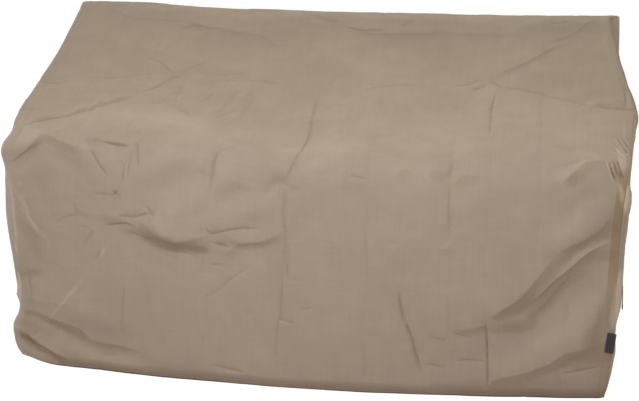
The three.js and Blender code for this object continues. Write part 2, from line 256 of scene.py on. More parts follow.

# In the tables of routes from here to that of painted lights, many of the points were worked out by
# separate programs from places given one by one. They weren't set by hand in the cloth's own sizes.

# Main folds, as in the solids: height, width above, width below, route of [across, up]
MAIN_FOLDS = {
    "belly": (30, 170, 50, [(-500, 448), (-451, 439), (-400, 420), (-262, 402)]),
    "arm_left": (5, 60, 60, [(-800, 700), (-640, 668), (-500, 665)]),
    "arm_left_side": (-16, 60, 60, [(-835, 600), (-720, 640)]),
    "pinch": (-14, 80, 70, [(-110, 590), (-75, 560)]),
    "front_rise_a": (7, 50, 40, [(-320, 480), (-260, 530), (-200, 590)]),
    "front_rise_b": (6, 50, 40, [(-225, 445), (-170, 490), (-120, 540)]),
    "front_rise_c": (7, 60, 60, [(-480, 560), (-380, 620), (-330, 680)]),
    "front_hollow": (-8, 60, 60, [(-420, 500), (-350, 540), (-290, 600)]),
    "centre_rise": (12, 90, 90, [(40, 660), (60, 600)]),
    "seat_crease_left": (-5, 80, 60, [(-840, 985), (-640, 1015), (-400, 1085)]),
    "seat_crease_right": (-6, 80, 60, [(420, 1080), (619, 1012), (870, 925)]),
    "arm_rise": (12, 130, 80, [(-520, 940), (-620, 850), (-720, 790), (-860, 770)]),
    "brace_crease": (-5, 60, 60, [(440, 1080), (614, 1210), (739, 1330)]),
    "shoulder_dip": (-8, 60, 60, [(368, 760), (370, 640), (373, 500)]),
    "pull_top": (10, 34, 110, [(640, 580), (690, 625), (790, 660)]),
    "pull_high": (10, 60, 40, [(800, 560), (700, 460), (630, 425)]),
    "pull_main": (-18, 90, 90, [(800, 440), (735, 345), (650, 255), (540, 165), (430, 120)]),
    "pull_low": (12, 60, 60, [(800, 290), (720, 175), (610, 105)]),
    "corner_left": (-10, 50, 50, [(-826, 100), (-673, 20)]),
    "corner_lobe": (10, 36, 40, [(-830, 40), (-760, 14), (-680, 0)]),
    "band_left": (-18, 80, 50, [(-800, 140), (-700, 105), (-560, 75), (-440, 60)]),
    "band_left_rise": (8, 60, 60, [(-800, 235), (-700, 190), (-600, 150)]),
    "side_left": (10, 60, 60, [(-812, 550), (-727, 372)]),
    "ridge_roll": (-15, 42, 150,
                   [(-720, 1330), (-600, 1290), (-450, 1305), (-350, 1272), (-230, 1258), (-130, 1300),
                    (10, 1318), (90, 1290), (300, 1296), (400, 1282), (530, 1275), (700, 1300)]),
}

# Turned edges, where the cloth folds over and falls away evenly: columns as for the main folds
TURNS = {
    "arm_ridge": (6, 46, 26, [(-812, 609), (-730, 666), (-677, 645), (-599, 636)]),
    "belly_lip": (9, 60, 40, [(-451, 439), (-407, 419), (-370, 405), (-316, 404), (-277, 408)]),
    "tuck_lower": (6, 34, 22, [(-222, 352), (-209, 378), (-185, 398), (-124, 420), (-71, 447)]),
    "scallop_a": (3.5, 40, 30, [(222, 585), (238, 612), (255, 624), (280, 602)]),
    "scallop_b": (3.5, 40, 30, [(305, 612), (320, 625), (342, 624), (365, 613)]),
    "scallop_c": (4, 24, 30, [(378, 570), (389, 592), (404, 607), (448, 603)]),
    "pull_top_edge": (6, 26, 30, [(655, 590), (690, 625), (722, 650), (765, 655)]),
    "pull_edge": (6, 50, 30, [(640, 388), (679, 428), (722, 450), (758, 476), (787, 516)]),
    "pull_edge_low": (6, 60, 34, [(485, 224), (550, 274), (601, 332), (640, 388), (650, 399)]),
    "low_edge": (7, 70, 34,
                 [(490, 50), (568, 74), (641, 106), (682, 138), (738, 157), (756, 215), (778, 295)]),
    "hem_pull": (5, 34, 14, [(612, 80), (569, 75), (516, 60), (485, 46)]),
    "corner_left": (16, 60, 24, [(-832, 98), (-787, 84), (-759, 63), (-712, 43), (-670, 22)]),
    "band_left": (6, 46, 26, [(-788, 158), (-718, 144), (-641, 117), (-603, 85), (-527, 80), (-469, 66)]),
    "pull_ridge": (7, 12, 22, [(587, 262), (632, 317), (682, 366), (731, 413), (782, 436)]),
    "pull_lowest": (4, 18, 26, [(589, 227), (634, 280), (663, 320), (703, 355), (742, 394)]),
}

# Flat faces between creases, which fall or rise evenly from a route: columns as for the main folds
FACES = {
    "patch_right": (5, 70, 150, [(-68, 575), (-33, 574), (14, 581), (81, 598), (145, 636)]),
    "arm_bright": (11, 36, 110, [(-836, 752), (-701, 762), (-638, 826), (-602, 868), (-520, 950)]),
    "arm_facet": (-7, 10, 80, [(-632, 674), (-560, 680), (-490, 662)]),
    "patch_bright": (6, 10, 90, [(-20, 700), (60, 690), (140, 690)]),
}

# Sharp creases: height, width on the left and on the right of the route, route of [across, up]
CREASES = {
    "across_left": (-6, 24, 10, [(-830, 992), (-790, 986), (-735, 990)]),
    "across_middle": (-2.5, 14, 10, [(-745, 989), (-653, 1018), (-544, 1058), (-450, 1080)]),
    "across_centre": (-0.8, 20, 12, [(-70, 1052), (180, 1064), (400, 1066)]),
    "crow_left_down": (6, 14, 22, [(-830, 756), (-701, 760), (-638, 822), (-602, 862), (-528, 942)]),
    "crow_left_deep": (-7, 6, 10, [(-824, 746), (-701, 752), (-638, 815), (-602, 855), (-528, 934)]),
    "crow_left_knot": (-5, 10, 12, [(-520, 970), (-475, 1008), (-447, 1054), (-410, 1066)]),
    "crow_left_up": (-4.5, 12, 14, [(-545, 1138), (-498, 1120), (-449, 1077)]),
    "crow_left_branch": (3.5, 12, 12, [(-622, 810), (-614, 880)]),
    "bright_low": (-4.5, 20, 34, [(-838, 833), (-765, 839)]),
    "crow_right": (-7, 14, 12, [(400, 1058), (443, 1080)]),
    "crow_right_knot": (-6, 14, 14, [(450, 1095), (468, 1088), (486, 1061)]),
    "crow_right_down": (-5, 24, 16, [(480, 1062), (555, 1042), (646, 1003), (753, 956)]),
    "face_right": (-8.5, 34, 14, [(740, 962), (790, 946), (850, 928)]),
    "face_right_upright": (-4.5, 16, 12, [(822, 1050), (822, 930)]),
    "brace": (5, 44, 12, [(460, 1112), (505, 1142), (559, 1184), (609, 1228), (668, 1260)]),
    "brace_high": (4, 14, 10, [(595, 1260), (642, 1275), (697, 1312), (742, 1358)]),
    "slope_upright": (-3.6, 6, 6, [(470, 1030), (463, 944), (463, 800)]),
    "slope_small_a": (2.5, 14, 10, [(-290, 1072), (-205, 1098)]),
    "slope_small_b": (3, 16, 10, [(-196, 1078), (-141, 1068), (-70, 1071)]),
    "streak_left": (-3.5, 12, 12, [(-217, 1015), (-206, 971), (-228, 850)]),
    "streak_low": (-3, 12, 10, [(-252, 1012), (-278, 938)]),
    "streak_short": (-3, 12, 10, [(-228, 921), (-290, 850)]),
    "streak_far": (-3.5, 14, 10, [(-396, 888), (-350, 844)]),
    "centre_slope": (-7, 80, 8, [(-26, 1045), (-29, 935), (-24, 817), (-34, 705), (-52, 625), (-72, 568)]),
    "centre_front": (-5, 9, 9, [(-70, 570), (-69, 481), (-62, 424), (-64, 375), (-72, 330)]),
    "centre_front_low": (-4, 9, 9, [(-70, 360), (-74, 225), (-82, 167), (-86, 60)]),
    "centre_double": (-3, 6, 6, [(-55, 420), (-56, 370), (-58, 320)]),
    "arm_triangle": (5, 30, 12, [(-757, 706), (-685, 668), (-655, 730)]),
    "arm_dark_deep": (-3.5, 5, 6, [(-812, 603), (-770, 632), (-734, 658)]),
    "arm_right": (-5, 7, 8, [(-625, 681), (-562, 684), (-487, 661)]),
    "arm_right_light": (4, 12, 14, [(-620, 678), (-560, 684), (-490, 668)]),
    "arm_right_up": (6, 22, 34, [(-490, 650), (-443, 722), (-415, 762)]),
    "arm_drop": (-6, 18, 6, [(-596, 642), (-577, 603), (-550, 566)]),
    "arm_upright": (-6, 9, 30, [(-471, 685), (-462, 590)]),
    "arm_upright_b": (-4, 7, 8, [(-500, 606), (-508, 540)]),
    "arm_upright_c": (-4, 7, 9, [(-480, 650), (-492, 560)]),
    "star_left": (-4, 12, 14, [(-587, 515), (-558, 514), (-526, 517)]),
    "star_ray_a": (-4.5, 5, 5, [(-524, 534), (-526, 518), (-532, 500)]),
    "star_ray_b": (-4, 5, 5, [(-540, 508), (-526, 518), (-514, 526)]),
    "star_ray_c": (-4, 5, 5, [(-540, 525), (-526, 518), (-510, 508)]),
    "side_light": (6, 5, 26, [(-814, 560), (-778, 464), (-722, 364)]),
    "side_light_low": (5, 7, 14, [(-792, 478), (-738, 376)]),
    "side_dimple": (-5, 26, 20, [(-797, 288), (-770, 276), (-744, 264)]),
    "sliver_left": (-4, 14, 8, [(-783, 290), (-772, 200), (-788, 166)]),
    "corner_short": (-6, 6, 6, [(-792, 66), (-766, 50)]),
    "low_under": (-5, 9, 14, [(674, 71), (737, 85), (789, 97)]),
    "arc": (-7, 22, 7, [(-240, 672), (-246, 658), (-256, 612), (-263, 569), (-267, 530)]),
    "arc_light": (4.5, 9, 12, [(-250, 646), (-239, 668), (-200, 690)]),
    "shoulder_knot_a": (-3.5, 12, 12, [(105, 585), (150, 575)]),
    "right_line_top": (-4, 7, 8, [(372, 665), (368, 606)]),
    "right_line": (-3, 7, 8, [(368, 612), (370, 528), (374, 450)]),
    "upright_low": (-3, 22, 22, [(150, 520), (153, 418), (160, 330)]),
    "upright_left_low": (-4, 8, 14, [(-507, 258), (-514, 190), (-524, 115)]),
    "shoulder_right": (4.5, 14, 12, [(618, 638), (654, 648), (690, 659), (725, 669)]),
    "sharp_right_top": (-2.5, 9, 8, [(430, 193), (477, 194)]),
    "right_low_a": (-4.5, 14, 12, [(376, 186), (402, 172), (440, 166)]),
    "right_low_b": (-4, 14, 12, [(325, 170), (370, 156)]),
    "right_low_c": (-4, 12, 12, [(322, 90), (372, 79)]),
    "right_low_d": (-4, 12, 12, [(394, 100), (478, 101)]),
    "corner_right": (-3, 26, 14, [(772, 300), (768, 224), (745, 196)]),
    "belly_edge": (-7, 6, 8, [(-556, 426), (-498, 436), (-474, 427)]),
    "belly_under": (-3, 12, 16, [(-450, 392), (-428, 378), (-379, 363), (-337, 360), (-292, 348)]),
    "belly_small_a": (-5, 7, 8, [(-514, 457), (-474, 456), (-430, 468), (-412, 454)]),
    "belly_small_b": (-5, 8, 9, [(-490, 409), (-462, 402), (-425, 392)]),
    "belly_small_c": (-4.5, 10, 9, [(-440, 486), (-412, 460)]),
    "tuck_top": (-5.5, 7, 9,
                 [(-277, 443), (-269, 423), (-254, 418), (-223, 430), (-190, 440), (-138, 449)]),
    "tuck_short": (-5, 7, 8, [(-261, 397), (-238, 388), (-209, 385)]),
    "low_middle": (-3.5, 14, 14, [(-290, 236), (-252, 256), (-214, 292), (-165, 334)]),
    "low_level": (-3, 8, 8, [(-265, 331), (-228, 332)]),
    "low_cross": (-4, 9, 9, [(-80, 197), (-35, 188)]),
    "low_cross_right": (-3.5, 9, 9, [(-18, 228), (12, 232)]),
    "low_hem": (-5, 10, 10, [(-262, 52), (-214, 44), (-178, 37)]),
    "sharp_lean": (-6.5, 6, 6, [(245, 290), (250, 250), (258, 205)]),
    "sharp_lean_low": (-7.5, 6, 6, [(261, 214), (282, 156), (305, 70)]),
    "sharp_right": (-6.5, 6, 6, [(473, 215), (482, 147), (484, 81), (486, 30)]),
    "left_arc": (-4, 9, 9, [(-697, 411), (-666, 432), (-624, 448)]),
    "left_short": (-3.5, 8, 8, [(-622, 415), (-600, 418)]),
    "left_lean": (-4, 9, 9, [(-590, 407), (-620, 356)]),
    "left_lean_low": (-4, 9, 9, [(-575, 350), (-592, 328)]),
    "left_low_light": (5, 8, 10, [(-763, 94), (-706, 160), (-649, 232)]),
    "left_low_small": (-4.5, 10, 10, [(-588, 52), (-536, 50)]),
    "ridge_band_a": (-4, 24, 30, [(-700, 1335), (-603, 1305), (-522, 1308), (-440, 1318)]),
    "ridge_band_b": (-4.5, 24, 30, [(-445, 1318), (-415, 1300), (-354, 1290), (-292, 1278), (-222, 1272)]),
    "ridge_short": (-6, 12, 10, [(-460, 1276), (-442, 1293), (-412, 1305)]),
    "ridge_curl": (-3, 12, 12, [(-232, 1272), (-203, 1256), (-172, 1222)]),
    "ridge_line_a": (-5, 14, 12, [(-130, 1360), (-76, 1346), (14, 1334)]),
    "ridge_line_b": (-3.5, 12, 12, [(-165, 1328), (-102, 1324), (-55, 1324)]),
    "ridge_line_c": (-6, 12, 10, [(14, 1318), (38, 1315), (76, 1308), (134, 1308)]),
    "ridge_band_c": (-4, 22, 30, [(60, 1294), (120, 1294), (179, 1296)]),
    "ridge_band_d": (-4, 24, 30, [(150, 1298), (222, 1300), (310, 1306), (359, 1296)]),
    "ridge_band_e": (-4, 24, 30, [(340, 1300), (397, 1298), (470, 1292), (530, 1284)]),
    "ridge_line_d": (-4.5, 12, 12, [(176, 1320), (223, 1333)]),
    "sliver_right": (5, 10, 14, [(798, 600), (812, 570), (826, 535)]),
    "back_from_left": (13, 22, 33, [(-770, 1440), (-690, 1560), (-560, 1700), (-470, 1890)]),
    "back_from_right": (-11, 33, 21, [(780, 1450), (700, 1600), (610, 1760), (580, 1960)]),
    "back_pull": (10, 26, 26, [(-280, 1430), (-190, 1500), (-60, 1530), (90, 1490), (190, 1425)]),
    "back_low": (-10, 22, 30, [(-620, 2210), (-420, 2120), (-180, 2150), (60, 2230)]),
    "back_low_right": (11, 26, 22, [(260, 2240), (430, 2110), (640, 2080), (770, 2140)]),
    "back_upright": (-6, 16, 16, [(30, 1620), (50, 1820), (24, 2040)]),
    "ridge_line_e": (-4.5, 14, 12, [(608, 1326), (676, 1335)]),
    "crow_ray_up": (3, 9, 7, [(-439, 1082), (-394, 1116), (-356, 1146)]),
    "crow_ray_level": (-2.6, 9, 7, [(-416, 1076), (-316, 1085), (-202, 1096)]),
    "crow_ray_far": (-2.8, 9, 7, [(-378, 1025), (-310, 1052), (-226, 1066), (-69, 1070)]),
    "crow_ray_down": (-3, 12, 8, [(-412, 1034), (-412, 982), (-418, 900)]),
    "slope_streak_a": (3, 9, 9, [(-215, 1042), (-225, 969), (-228, 902)]),
    "slope_streak_b": (-2.8, 12, 8, [(-246, 1016), (-273, 921), (-298, 858)]),
    "slope_curl": (-3.2, 8, 8, [(-394, 888), (-376, 880), (-359, 857)]),
    "slope_ray_a": (2.6, 9, 9, [(-12, 1067), (13, 1103), (46, 1111)]),
    "slope_ray_b": (2.6, 9, 9, [(-18, 943), (29, 970), (62, 964)]),
    "slope_ray_c": (2.6, 9, 9, [(-470, 912), (-448, 946), (-424, 983)]),
    "slope_ray_d": (-2.6, 9, 9, [(-358, 927), (-334, 946), (-314, 996)]),
    "slope_ray_e": (2.4, 9, 9, [(92, 1032), (159, 1060), (229, 1072)]),
    "slope_ray_f": (-3, 9, 9, [(355, 1069), (396, 1084), (423, 1104)]),
    "slope_ray_g": (2.4, 9, 9, [(348, 959), (402, 980), (446, 1016)]),
    "slope_ray_h": (2.4, 9, 9, [(406, 912), (431, 940), (484, 971)]),
}

# Painted shade: places painted darker and warmer, most of them hollows beside the folds, where the cloth
# would shade itself. arm_front, arm_side and upper_right are broad patches of painted shade instead. Each
# is given by how strong it is, how soft its edge is, and a route of [across, up, half its width].
PAINTED_SHADE = {
    "pull_upper": (0.5, 5, [(786, 474, 22), (716, 433, 16), (660, 376, 16), (624, 334, 12), (587, 282, 20),
                             (562, 254, 20), (530, 240, 16), (496, 227, 8)]),
    "pull_lower": (0.5, 5, [(788, 403, 16), (744, 394, 13), (713, 376, 11), (682, 350, 13), (650, 310, 15),
                             (626, 272, 15), (600, 234, 13), (588, 212, 11)]),
    "pull_foot": (0.6, 5, [(600, 206, 13), (564, 195, 17), (525, 195, 16), (494, 190, 11)]),
    "pull_end": (0.5, 5, [(474, 190, 10), (434, 186, 8), (390, 187, 3)]),
    "tag_side": (0.5, 12, [(786, 300, 4), (776, 252, 9), (762, 212, 15), (746, 168, 22)]),
    "tag_low": (0.62, 6, [(800, 138, 32), (750, 128, 28), (711, 118, 20), (673, 104, 13), (630, 88, 5)]),
    "low_long": (0.45, 6, [(626, 78, 8), (582, 62, 12), (543, 50, 14), (504, 43, 10)]),
    "low_wide": (0.3, 14, [(790, 30, 24), (640, 28, 26), (504, 30, 22), (345, 34, 8)]),
    "belly_small": (0.4, 4, [(-515, 456, 3), (-479, 466, 4), (-451, 467, 5), (-423, 453, 3)]),
    "belly_start": (0.5, 4, [(-546, 428, 2), (-516, 433, 3), (-488, 432, 3)]),
    "belly": (0.72, 5, [(-480, 444, 2), (-451, 440, 4), (-423, 428, 8), (-398, 405, 12), (-358, 391, 14),
                        (-320, 380, 14), (-284, 374, 13)]),
    "tuck": (0.5, 5, [(-196, 384, 3), (-162, 400, 7), (-124, 410, 8), (-84, 430, 4)]),
    "band_left": (0.62, 5, [(-792, 146, 10), (-754, 142, 11), (-719, 127, 12), (-678, 110, 12),
                            (-642, 94, 11), (-607, 78, 9), (-565, 73, 8), (-513, 74, 7), (-477, 65, 4)]),
    "corner_olive": (0.5, 16, [(-816, 118, 18), (-780, 108, 16), (-722, 88, 8)]),
    "corner_wedge": (1, 4, [(-808, 74, 9), (-784, 60, 17), (-756, 46, 16), (-720, 32, 8)]),
    "dimple_left": (0.5, 12, [(-806, 279, 10), (-780, 272, 11), (-751, 271, 6)]),
    "left_smear": (0.3, 18, [(-800, 440, 10), (-771, 405, 16), (-745, 330, 14)]),
    "low_left": (0.35, 16, [(-470, 46, 12), (-410, 37, 14), (-270, 30, 6)]),
    "arm_smear": (0.28, 20, [(-718, 618, 6), (-634, 592, 12), (-600, 560, 12), (-566, 540, 10)]),
    "star_smear": (0.45, 9, [(-587, 513, 3), (-558, 512, 7), (-528, 516, 4)]),
    "upper_right": (0.24, 70, [(690, 1200, 70), (770, 1060, 50)]),
    "upper_right_edge": (0.5, 5, [(744, 966, 2), (800, 946, 5), (850, 932, 7)]),
    "arm_front": (0.25, 45, [(-810, 560, 40), (-770, 470, 30)]),
    "arm_side": (0.2, 40, [(-764, 600, 30), (-727, 530, 38), (-707, 460, 26)]),
    "corner_right": (0.25, 20, [(716, 98, 16), (758, 92, 26), (800, 78, 26)]),
}

# Creases of the side panels: height, width on the left and on the right of a route of [depth, height]
SIDE_CREASES = {
    "from_shoulder": (16, 22, 33, [(-340, 612), (-250, 560), (-150, 470), (-90, 380)]),
    "from_shoulder_low": (-12, 15, 30, [(-330, 560), (-260, 470), (-215, 360), (-205, 250)]),
    "under_slope": (12, 26, 22, [(-230, 640), (-60, 690), (110, 745), (230, 800)]),
    "from_ridge": (-13, 20, 33, [(300, 850), (240, 730), (150, 610), (110, 480)]),
    "from_ridge_back": (12, 22, 26, [(345, 820), (330, 640), (345, 470)]),
    "low_front": (13, 26, 26, [(-350, 230), (-280, 150), (-180, 90), (-80, 70)]),
    "low_back": (-12, 22, 30, [(380, 260), (290, 170), (200, 120)]),
    "across_middle": (-6, 15, 22, [(-120, 330), (40, 300), (190, 330)]),
}

# Painted light: places painted paler, in the same way, most of them edges of the cloth where a highlight is
# painted. shoulder_left, shoulder_middle, middle_low and left_slope are broad patches of painted light
# instead.
PAINTED_LIGHTS = {
    "shoulder_left": (0.26, 55, [(-690, 748, 20), (-578, 832, 45), (-467, 838, 45), (-350, 812, 25)]),
    "shoulder_middle": (0.15, 40, [(-34, 704, 20), (40, 708, 40), (110, 684, 20)]),
    "middle_low": (0.1, 60, [(-350, 326, 30), (-254, 300, 55), (-158, 346, 40)]),
    "sliver_right": (0.9, 3, [(803, 594, 2), (812, 563, 6), (820, 532, 5)]),
    "above_tag": (0.8, 4, [(817, 350, 3), (815, 318, 8), (812, 280, 10), (809, 236, 10), (806, 205, 3)]),
    "gathers": (0.4, 6, [(796, 726, 4), (806, 690, 10), (808, 655, 10), (806, 626, 5)]),
    "corner_diagonal": (0.3, 2, [(-767, 77, 1.5), (-703, 161, 2.5), (-642, 242, 2.5), (-614, 275, 1),
                                 (-552, 369, 1.5)]),
    "pull_light": (0.16, 5, [(600, 300, 3), (649, 360, 7), (710, 408, 8), (773, 440, 4)]),
    "left_slope": (0.12, 30, [(-790, 740, 20), (-695, 766, 25), (-626, 826, 20), (-535, 892, 10)]),
    "ear": (0.5, 3, [(786, 1385, 2), (793, 1315, 3), (799, 1272, 4), (804, 1209, 2)]),
    "left_high": (0.5, 3, [(-812, 545, 1), (-809, 490, 3), (-812, 440, 3), (-808, 390, 3), (-809, 325, 1)]),
    "left_low": (0.7, 3, [(-806, 275, 2), (-808, 230, 6), (-812, 188, 4)]),
    "left_crease": (0.35, 3, [(-796, 560, 2), (-778, 480, 3), (-738, 385, 1)]),
}
# Painted light in the same way along the front edge of the right side panel: by height, then how far from
# the seam it fades
SIDE_PAINTED_LIGHT = ((200, 0), (230, 0.8), (345, 0.8), (370, 0), (510, 0), (540, 0.9), (585, 0.9), (600, 0))
SIDE_PAINTED_LIGHT_WIDTH = (8, 34)

# Gathers at the right arm, where the side panel is eased in: how many, height, width, spacing, and the
# first one's route of [across, up]; the others stand beside it
GATHERS = {
    "arm_end": (5, 3.4, 5, (5.6, 4), [(790, 780), (804, 728), (818, 690)]),
    "arm_light": (5, 3, 5, (5, 5), [(783, 716), (798, 680), (810, 658)]),
    "arm_front": (6, 3.2, 4.6, (5.4, 1), [(769, 655), (779, 624), (791, 602)]),
}

# Creases left by packing: upright ones by their place across, level ones by their place up the cloth
PACK_UPRIGHT = (-640, -515, -290, 155, 372, 470, 600, 690)
PACK_LEVEL = (190, 415, 780, 920, 1180, 1590, 1820, 2060)
PACK_SIDE_UPRIGHT = (-170, 70, 250)
PACK_SIDE_LEVEL = (190, 415, 640)
PACK_SIDE_ENDS = ((40, 300, 600), (-330, 0, 370))  # low, middle and high; front, middle and back
PACK_PIECE = 130
PACK_DEPTH = 1.1
PACK_WIDTH = 14
PACK_SHIFT, PACK_SIDE_SHIFT = 3, 4
PACK_UPRIGHT_ENDS, PACK_LEVEL_ENDS = (30, PANEL_LENGTH), (-780, 780)
PACK_UPRIGHT_SHARE, PACK_LEVEL_SHARE = (0.1, 1), (-0.3, 0.9)  # least and most of the depth
PACK_SIDE_HEIGHT = -1.5 * PACK_DEPTH

# Small creases all over: how many, their shortest and longest, lowest and highest, narrowest and
# widest, which way they run, in quarter turns, how far they stray from it, and how far they bend
SMALL_COUNT = 560
SMALL_BACK_COUNT = 320
SMALL_SIDE_COUNT = 150
SMALL_LENGTH = (40, 170)
SMALL_HEIGHT = (0.5, 2.3)
SMALL_WIDTH = (11, 30)
SMALL_TURNS = (0, 0.5, -0.5, 1.0)
SMALL_TURN_SPREAD = 0.3
SMALL_BEND = 5
SMALL_AREA = (-780, 20), (780, RIDGE_START)
SMALL_BACK_AREA = (-770, BACK_START + 20), (770, PANEL_LENGTH - 30)
SMALL_SIDE_AREA = (-340, 40), (380, 700)

# Lamps: place, what it points at, width and height, power and colour
WHITE = (1, 1, 1)
LAMPS = {
    "front_over": ((0, -1.7, 1.7), (0, -0.3, 0.55), (2.4, 0.8), 29.5, WHITE),
    "over_shoulder": ((0, -0.9, 2.1), (0, -0.3, 0.6), (2.2, 1.0), 7.5, WHITE),
    "back_high": ((0, 2.2, 2.8), (0, 0, 0.6), (3, 2), 42, (1, 0.97, 0.8)),
    "front_low": ((0, -4.2, 0.9), (0, -0.2, 0.4), (3, 1.6), 6.5, WHITE),
    "left": ((-3.2, 0.2, 1.3), (0, 0, 0.4), (2, 2), 60, WHITE),
    "right": ((3.3, 0.3, 1.3), (0, 0, 0.4), (2, 2), 34, WHITE),
}
ROOM_LIGHT = 0.02
FLOOR = [(-9, -7, 0), (9, -7, 0), (9, 9, 0), (-9, 9, 0)]
PAPER_COLOUR, PAPER_ROUGHNESS, PAPER_GLOW, PAPER_SHARE = (0.9, 0.9, 0.9), 0.9, 1.06, 0.94

# Camera: where it looks from and at, and its lens
AZIMUTH, ELEVATION, DISTANCE = math.radians(7.805), math.radians(17.576), 4.733
TARGET = (-0.023, 0.0, 0.406)
SENSOR_WIDTH, LENS = 36, 92.9577


# ---------------------------------------------------------------- reading tables, noise and folds
Crease = namedtuple("Crease", "height left right power route")
Nearest = namedtuple("Nearest", "distance above side share")


def read(table, column, place):
    """A smooth curve through a table's rows: cubic pieces with the slope of the rows on either side."""
    keys, values = table[:, 0], table[:, column]
    slope = np.empty_like(values)
    slope[1:-1] = (values[2:] - values[:-2]) / (keys[2:] - keys[:-2])
    slope[0] = (values[1] - values[0]) / (keys[1] - keys[0])
    slope[-1] = (values[-1] - values[-2]) / (keys[-1] - keys[-2])
    place = np.clip(place, keys[0], keys[-1])
    i = np.clip(np.searchsorted(keys, place, side="right") - 1, 0, len(keys) - 2)
    span = keys[i + 1] - keys[i]
    t = (place - keys[i]) / span
    rise = values[i + 1] - values[i]
    bend = (1 - t) * slope[i] * span - t * slope[i + 1] * span + (2 * t - 1) * rise
    return values[i] + rise * t + t * (1 - t) * bend


def hump(t):
    return 4 * t * (1 - t)


def mix(a, b, t):
    return a + (b - a) * t


def smoothstep(low, high, value):
    t = np.clip((value - low) / (high - low), 0, 1)
    return t * t * (3 - 2 * t)


def unit(vectors):
    return vectors / np.linalg.norm(vectors, axis=-1, keepdims=True)


def noise(x, y, seed, size=64):
    """Smooth noise from about -1 to 1 over a plane, with one bump to a unit."""
    lattice = np.random.default_rng(seed).uniform(0, 2 * math.pi, (size, size))
    x0, y0 = np.floor(x).astype(int), np.floor(y).astype(int)
    fx, fy = x - x0, y - y0

    def corner(i, j):
        turn = lattice[(x0 + i) % size, (y0 + j) % size]
        return np.cos(turn) * (fx - i) + np.sin(turn) * (fy - j)

    sx, sy = fx**3 * (fx * (6 * fx - 15) + 10), fy**3 * (fy * (6 * fy - 15) + 10)
    low = mix(corner(0, 0), corner(1, 0), sx)
    high = mix(corner(0, 1), corner(1, 1), sx)
    return 1.5 * mix(low, high, sy)


def unevenness(table, x, y, seed):
    """The sum of the rows of noise in a table, each with its own seed."""
    return sum(height * noise(x / wide + shift_x, y / high + shift_y, seed + step)
               for height, wide, high, shift_x, shift_y, step in table)


def along_route(route, x, up):
    """For each place: its distance from a route, how far above the nearest part of it, the side it is
    on (positive to the left of the route) and the share of the way along."""
    route = np.array(route, float)
    steps = np.diff(route, axis=0)
    lengths = np.hypot(*steps.T)
    nearest = np.full(x.shape, np.inf)
    above, side, share = (np.zeros(x.shape) for _ in range(3))
    before = 0
    for (ax, au), (dx, du), length in zip(route[:-1], steps, lengths):
        t = np.clip(((x - ax) * dx + (up - au) * du) / length**2, 0, 1)
        off_x, off_up = x - ax - t * dx, up - au - t * du
        distance = np.hypot(off_x, off_up)
        closer = distance < nearest
        nearest = np.where(closer, distance, nearest)
        above = np.where(closer, off_up, above)
        side = np.where(closer, dx * off_up - du * off_x, side)
        share = np.where(closer, (before + t * length) / lengths.sum(), share)
        before += length
    return Nearest(nearest, above, side, share)


def in_box(route, margin, x, up):
    """Which places are in the box round a route, with a margin."""
    low, high = np.min(route, 0) - margin, np.max(route, 0) + margin
    return (x > low[0]) & (x < high[0]) & (up > low[1]) & (up < high[1])


def fade_ends(share):
    return np.sin(np.pi * mix(0.12, 0.88, share))


def taper(share):
    return smoothstep(-0.04, 0.2, np.minimum(share, 1 - share))


def main_lift(x, up):
    """How far the main folds lift the cloth. They are round."""
    lift = np.zeros(x.shape)
    for height, above, below, route in MAIN_FOLDS.values():
        near = along_route(route, x, up)
        width = mix(below, above, smoothstep(-FOLD_BLEND, FOLD_BLEND, near.above))
        lift += height * fade_ends(near.share) * (1 - np.minimum(near.distance / width, 1) ** 2) ** 2
    return lift


def crease_lift(creases, x, up):
    """How far creases lift the cloth. Each has an edge along its route, and its sides fall evenly where
    the power is 1, and steeply at first where it is more."""
    lift = np.zeros(x.shape)
    for crease in creases:
        close = in_box(crease.route, max(crease.left, crease.right), x, up)
        if close.any():
            near = along_route(crease.route, x[close], up[close])
            width = np.where(near.side > 0, crease.left, crease.right)
            fall = (1 - np.minimum(near.distance / width, 1)) ** crease.power
            lift[close] += crease.height * taper(near.share) * fall
    return lift


def fold_shade(x, up):
    """Painted shade, from 0 to 1, by how deep in a crease or under a turned edge the cloth lies."""
    shade = np.zeros(x.shape)
    for crease in SHARP:
        close = in_box(crease.route, crease.right + SHADE_LINE, x, up)
        if crease.power == FACE_POWER or not close.any():
            continue
        near = along_route(crease.route, x[close], up[close])
        depth = min(abs(crease.height) / CREASE_SHADE, DEEPEST_SHADE)
        if crease.power == TURN_POWER:
            reach = np.where(near.side > 0, SHADE_ABOVE, crease.right)
            depth = min(crease.height / TURN_SHADE, 1)
            inside_it = (1 - smoothstep(*TURN_SHADE_EDGE, near.distance / reach)) * depth
        elif crease.height < 0:
            inside_it = (1 - np.minimum(near.distance / SHADE_LINE, 1)) * depth
        else:
            reach = np.where(near.side > 0, SHADE_ABOVE, SHADE_BELOW * crease.right)
            inside_it = (1 - np.minimum(near.distance / reach, 1)) * depth / 2
        shade[close] = np.maximum(shade[close], taper(near.share) * inside_it)
    return shade


def strength_at(table, x, up):
    """How strongly the entries of a table of painted shade or painted light act at a place, from 0 to 1."""
    shade = np.zeros(x.shape)
    for strength, softness, route in table.values():
        route = np.array(route, float)
        near = along_route(route[:, :2], x, up)
        lengths = np.hypot(*np.diff(route[:, :2], axis=0).T)
        places = np.concatenate([[0], np.cumsum(lengths)]) / lengths.sum()
        outside = near.distance - np.interp(near.share, places, route[:, 2])
        shade = np.maximum(shade, strength * (1 - smoothstep(-softness, softness, outside)))
    return shade


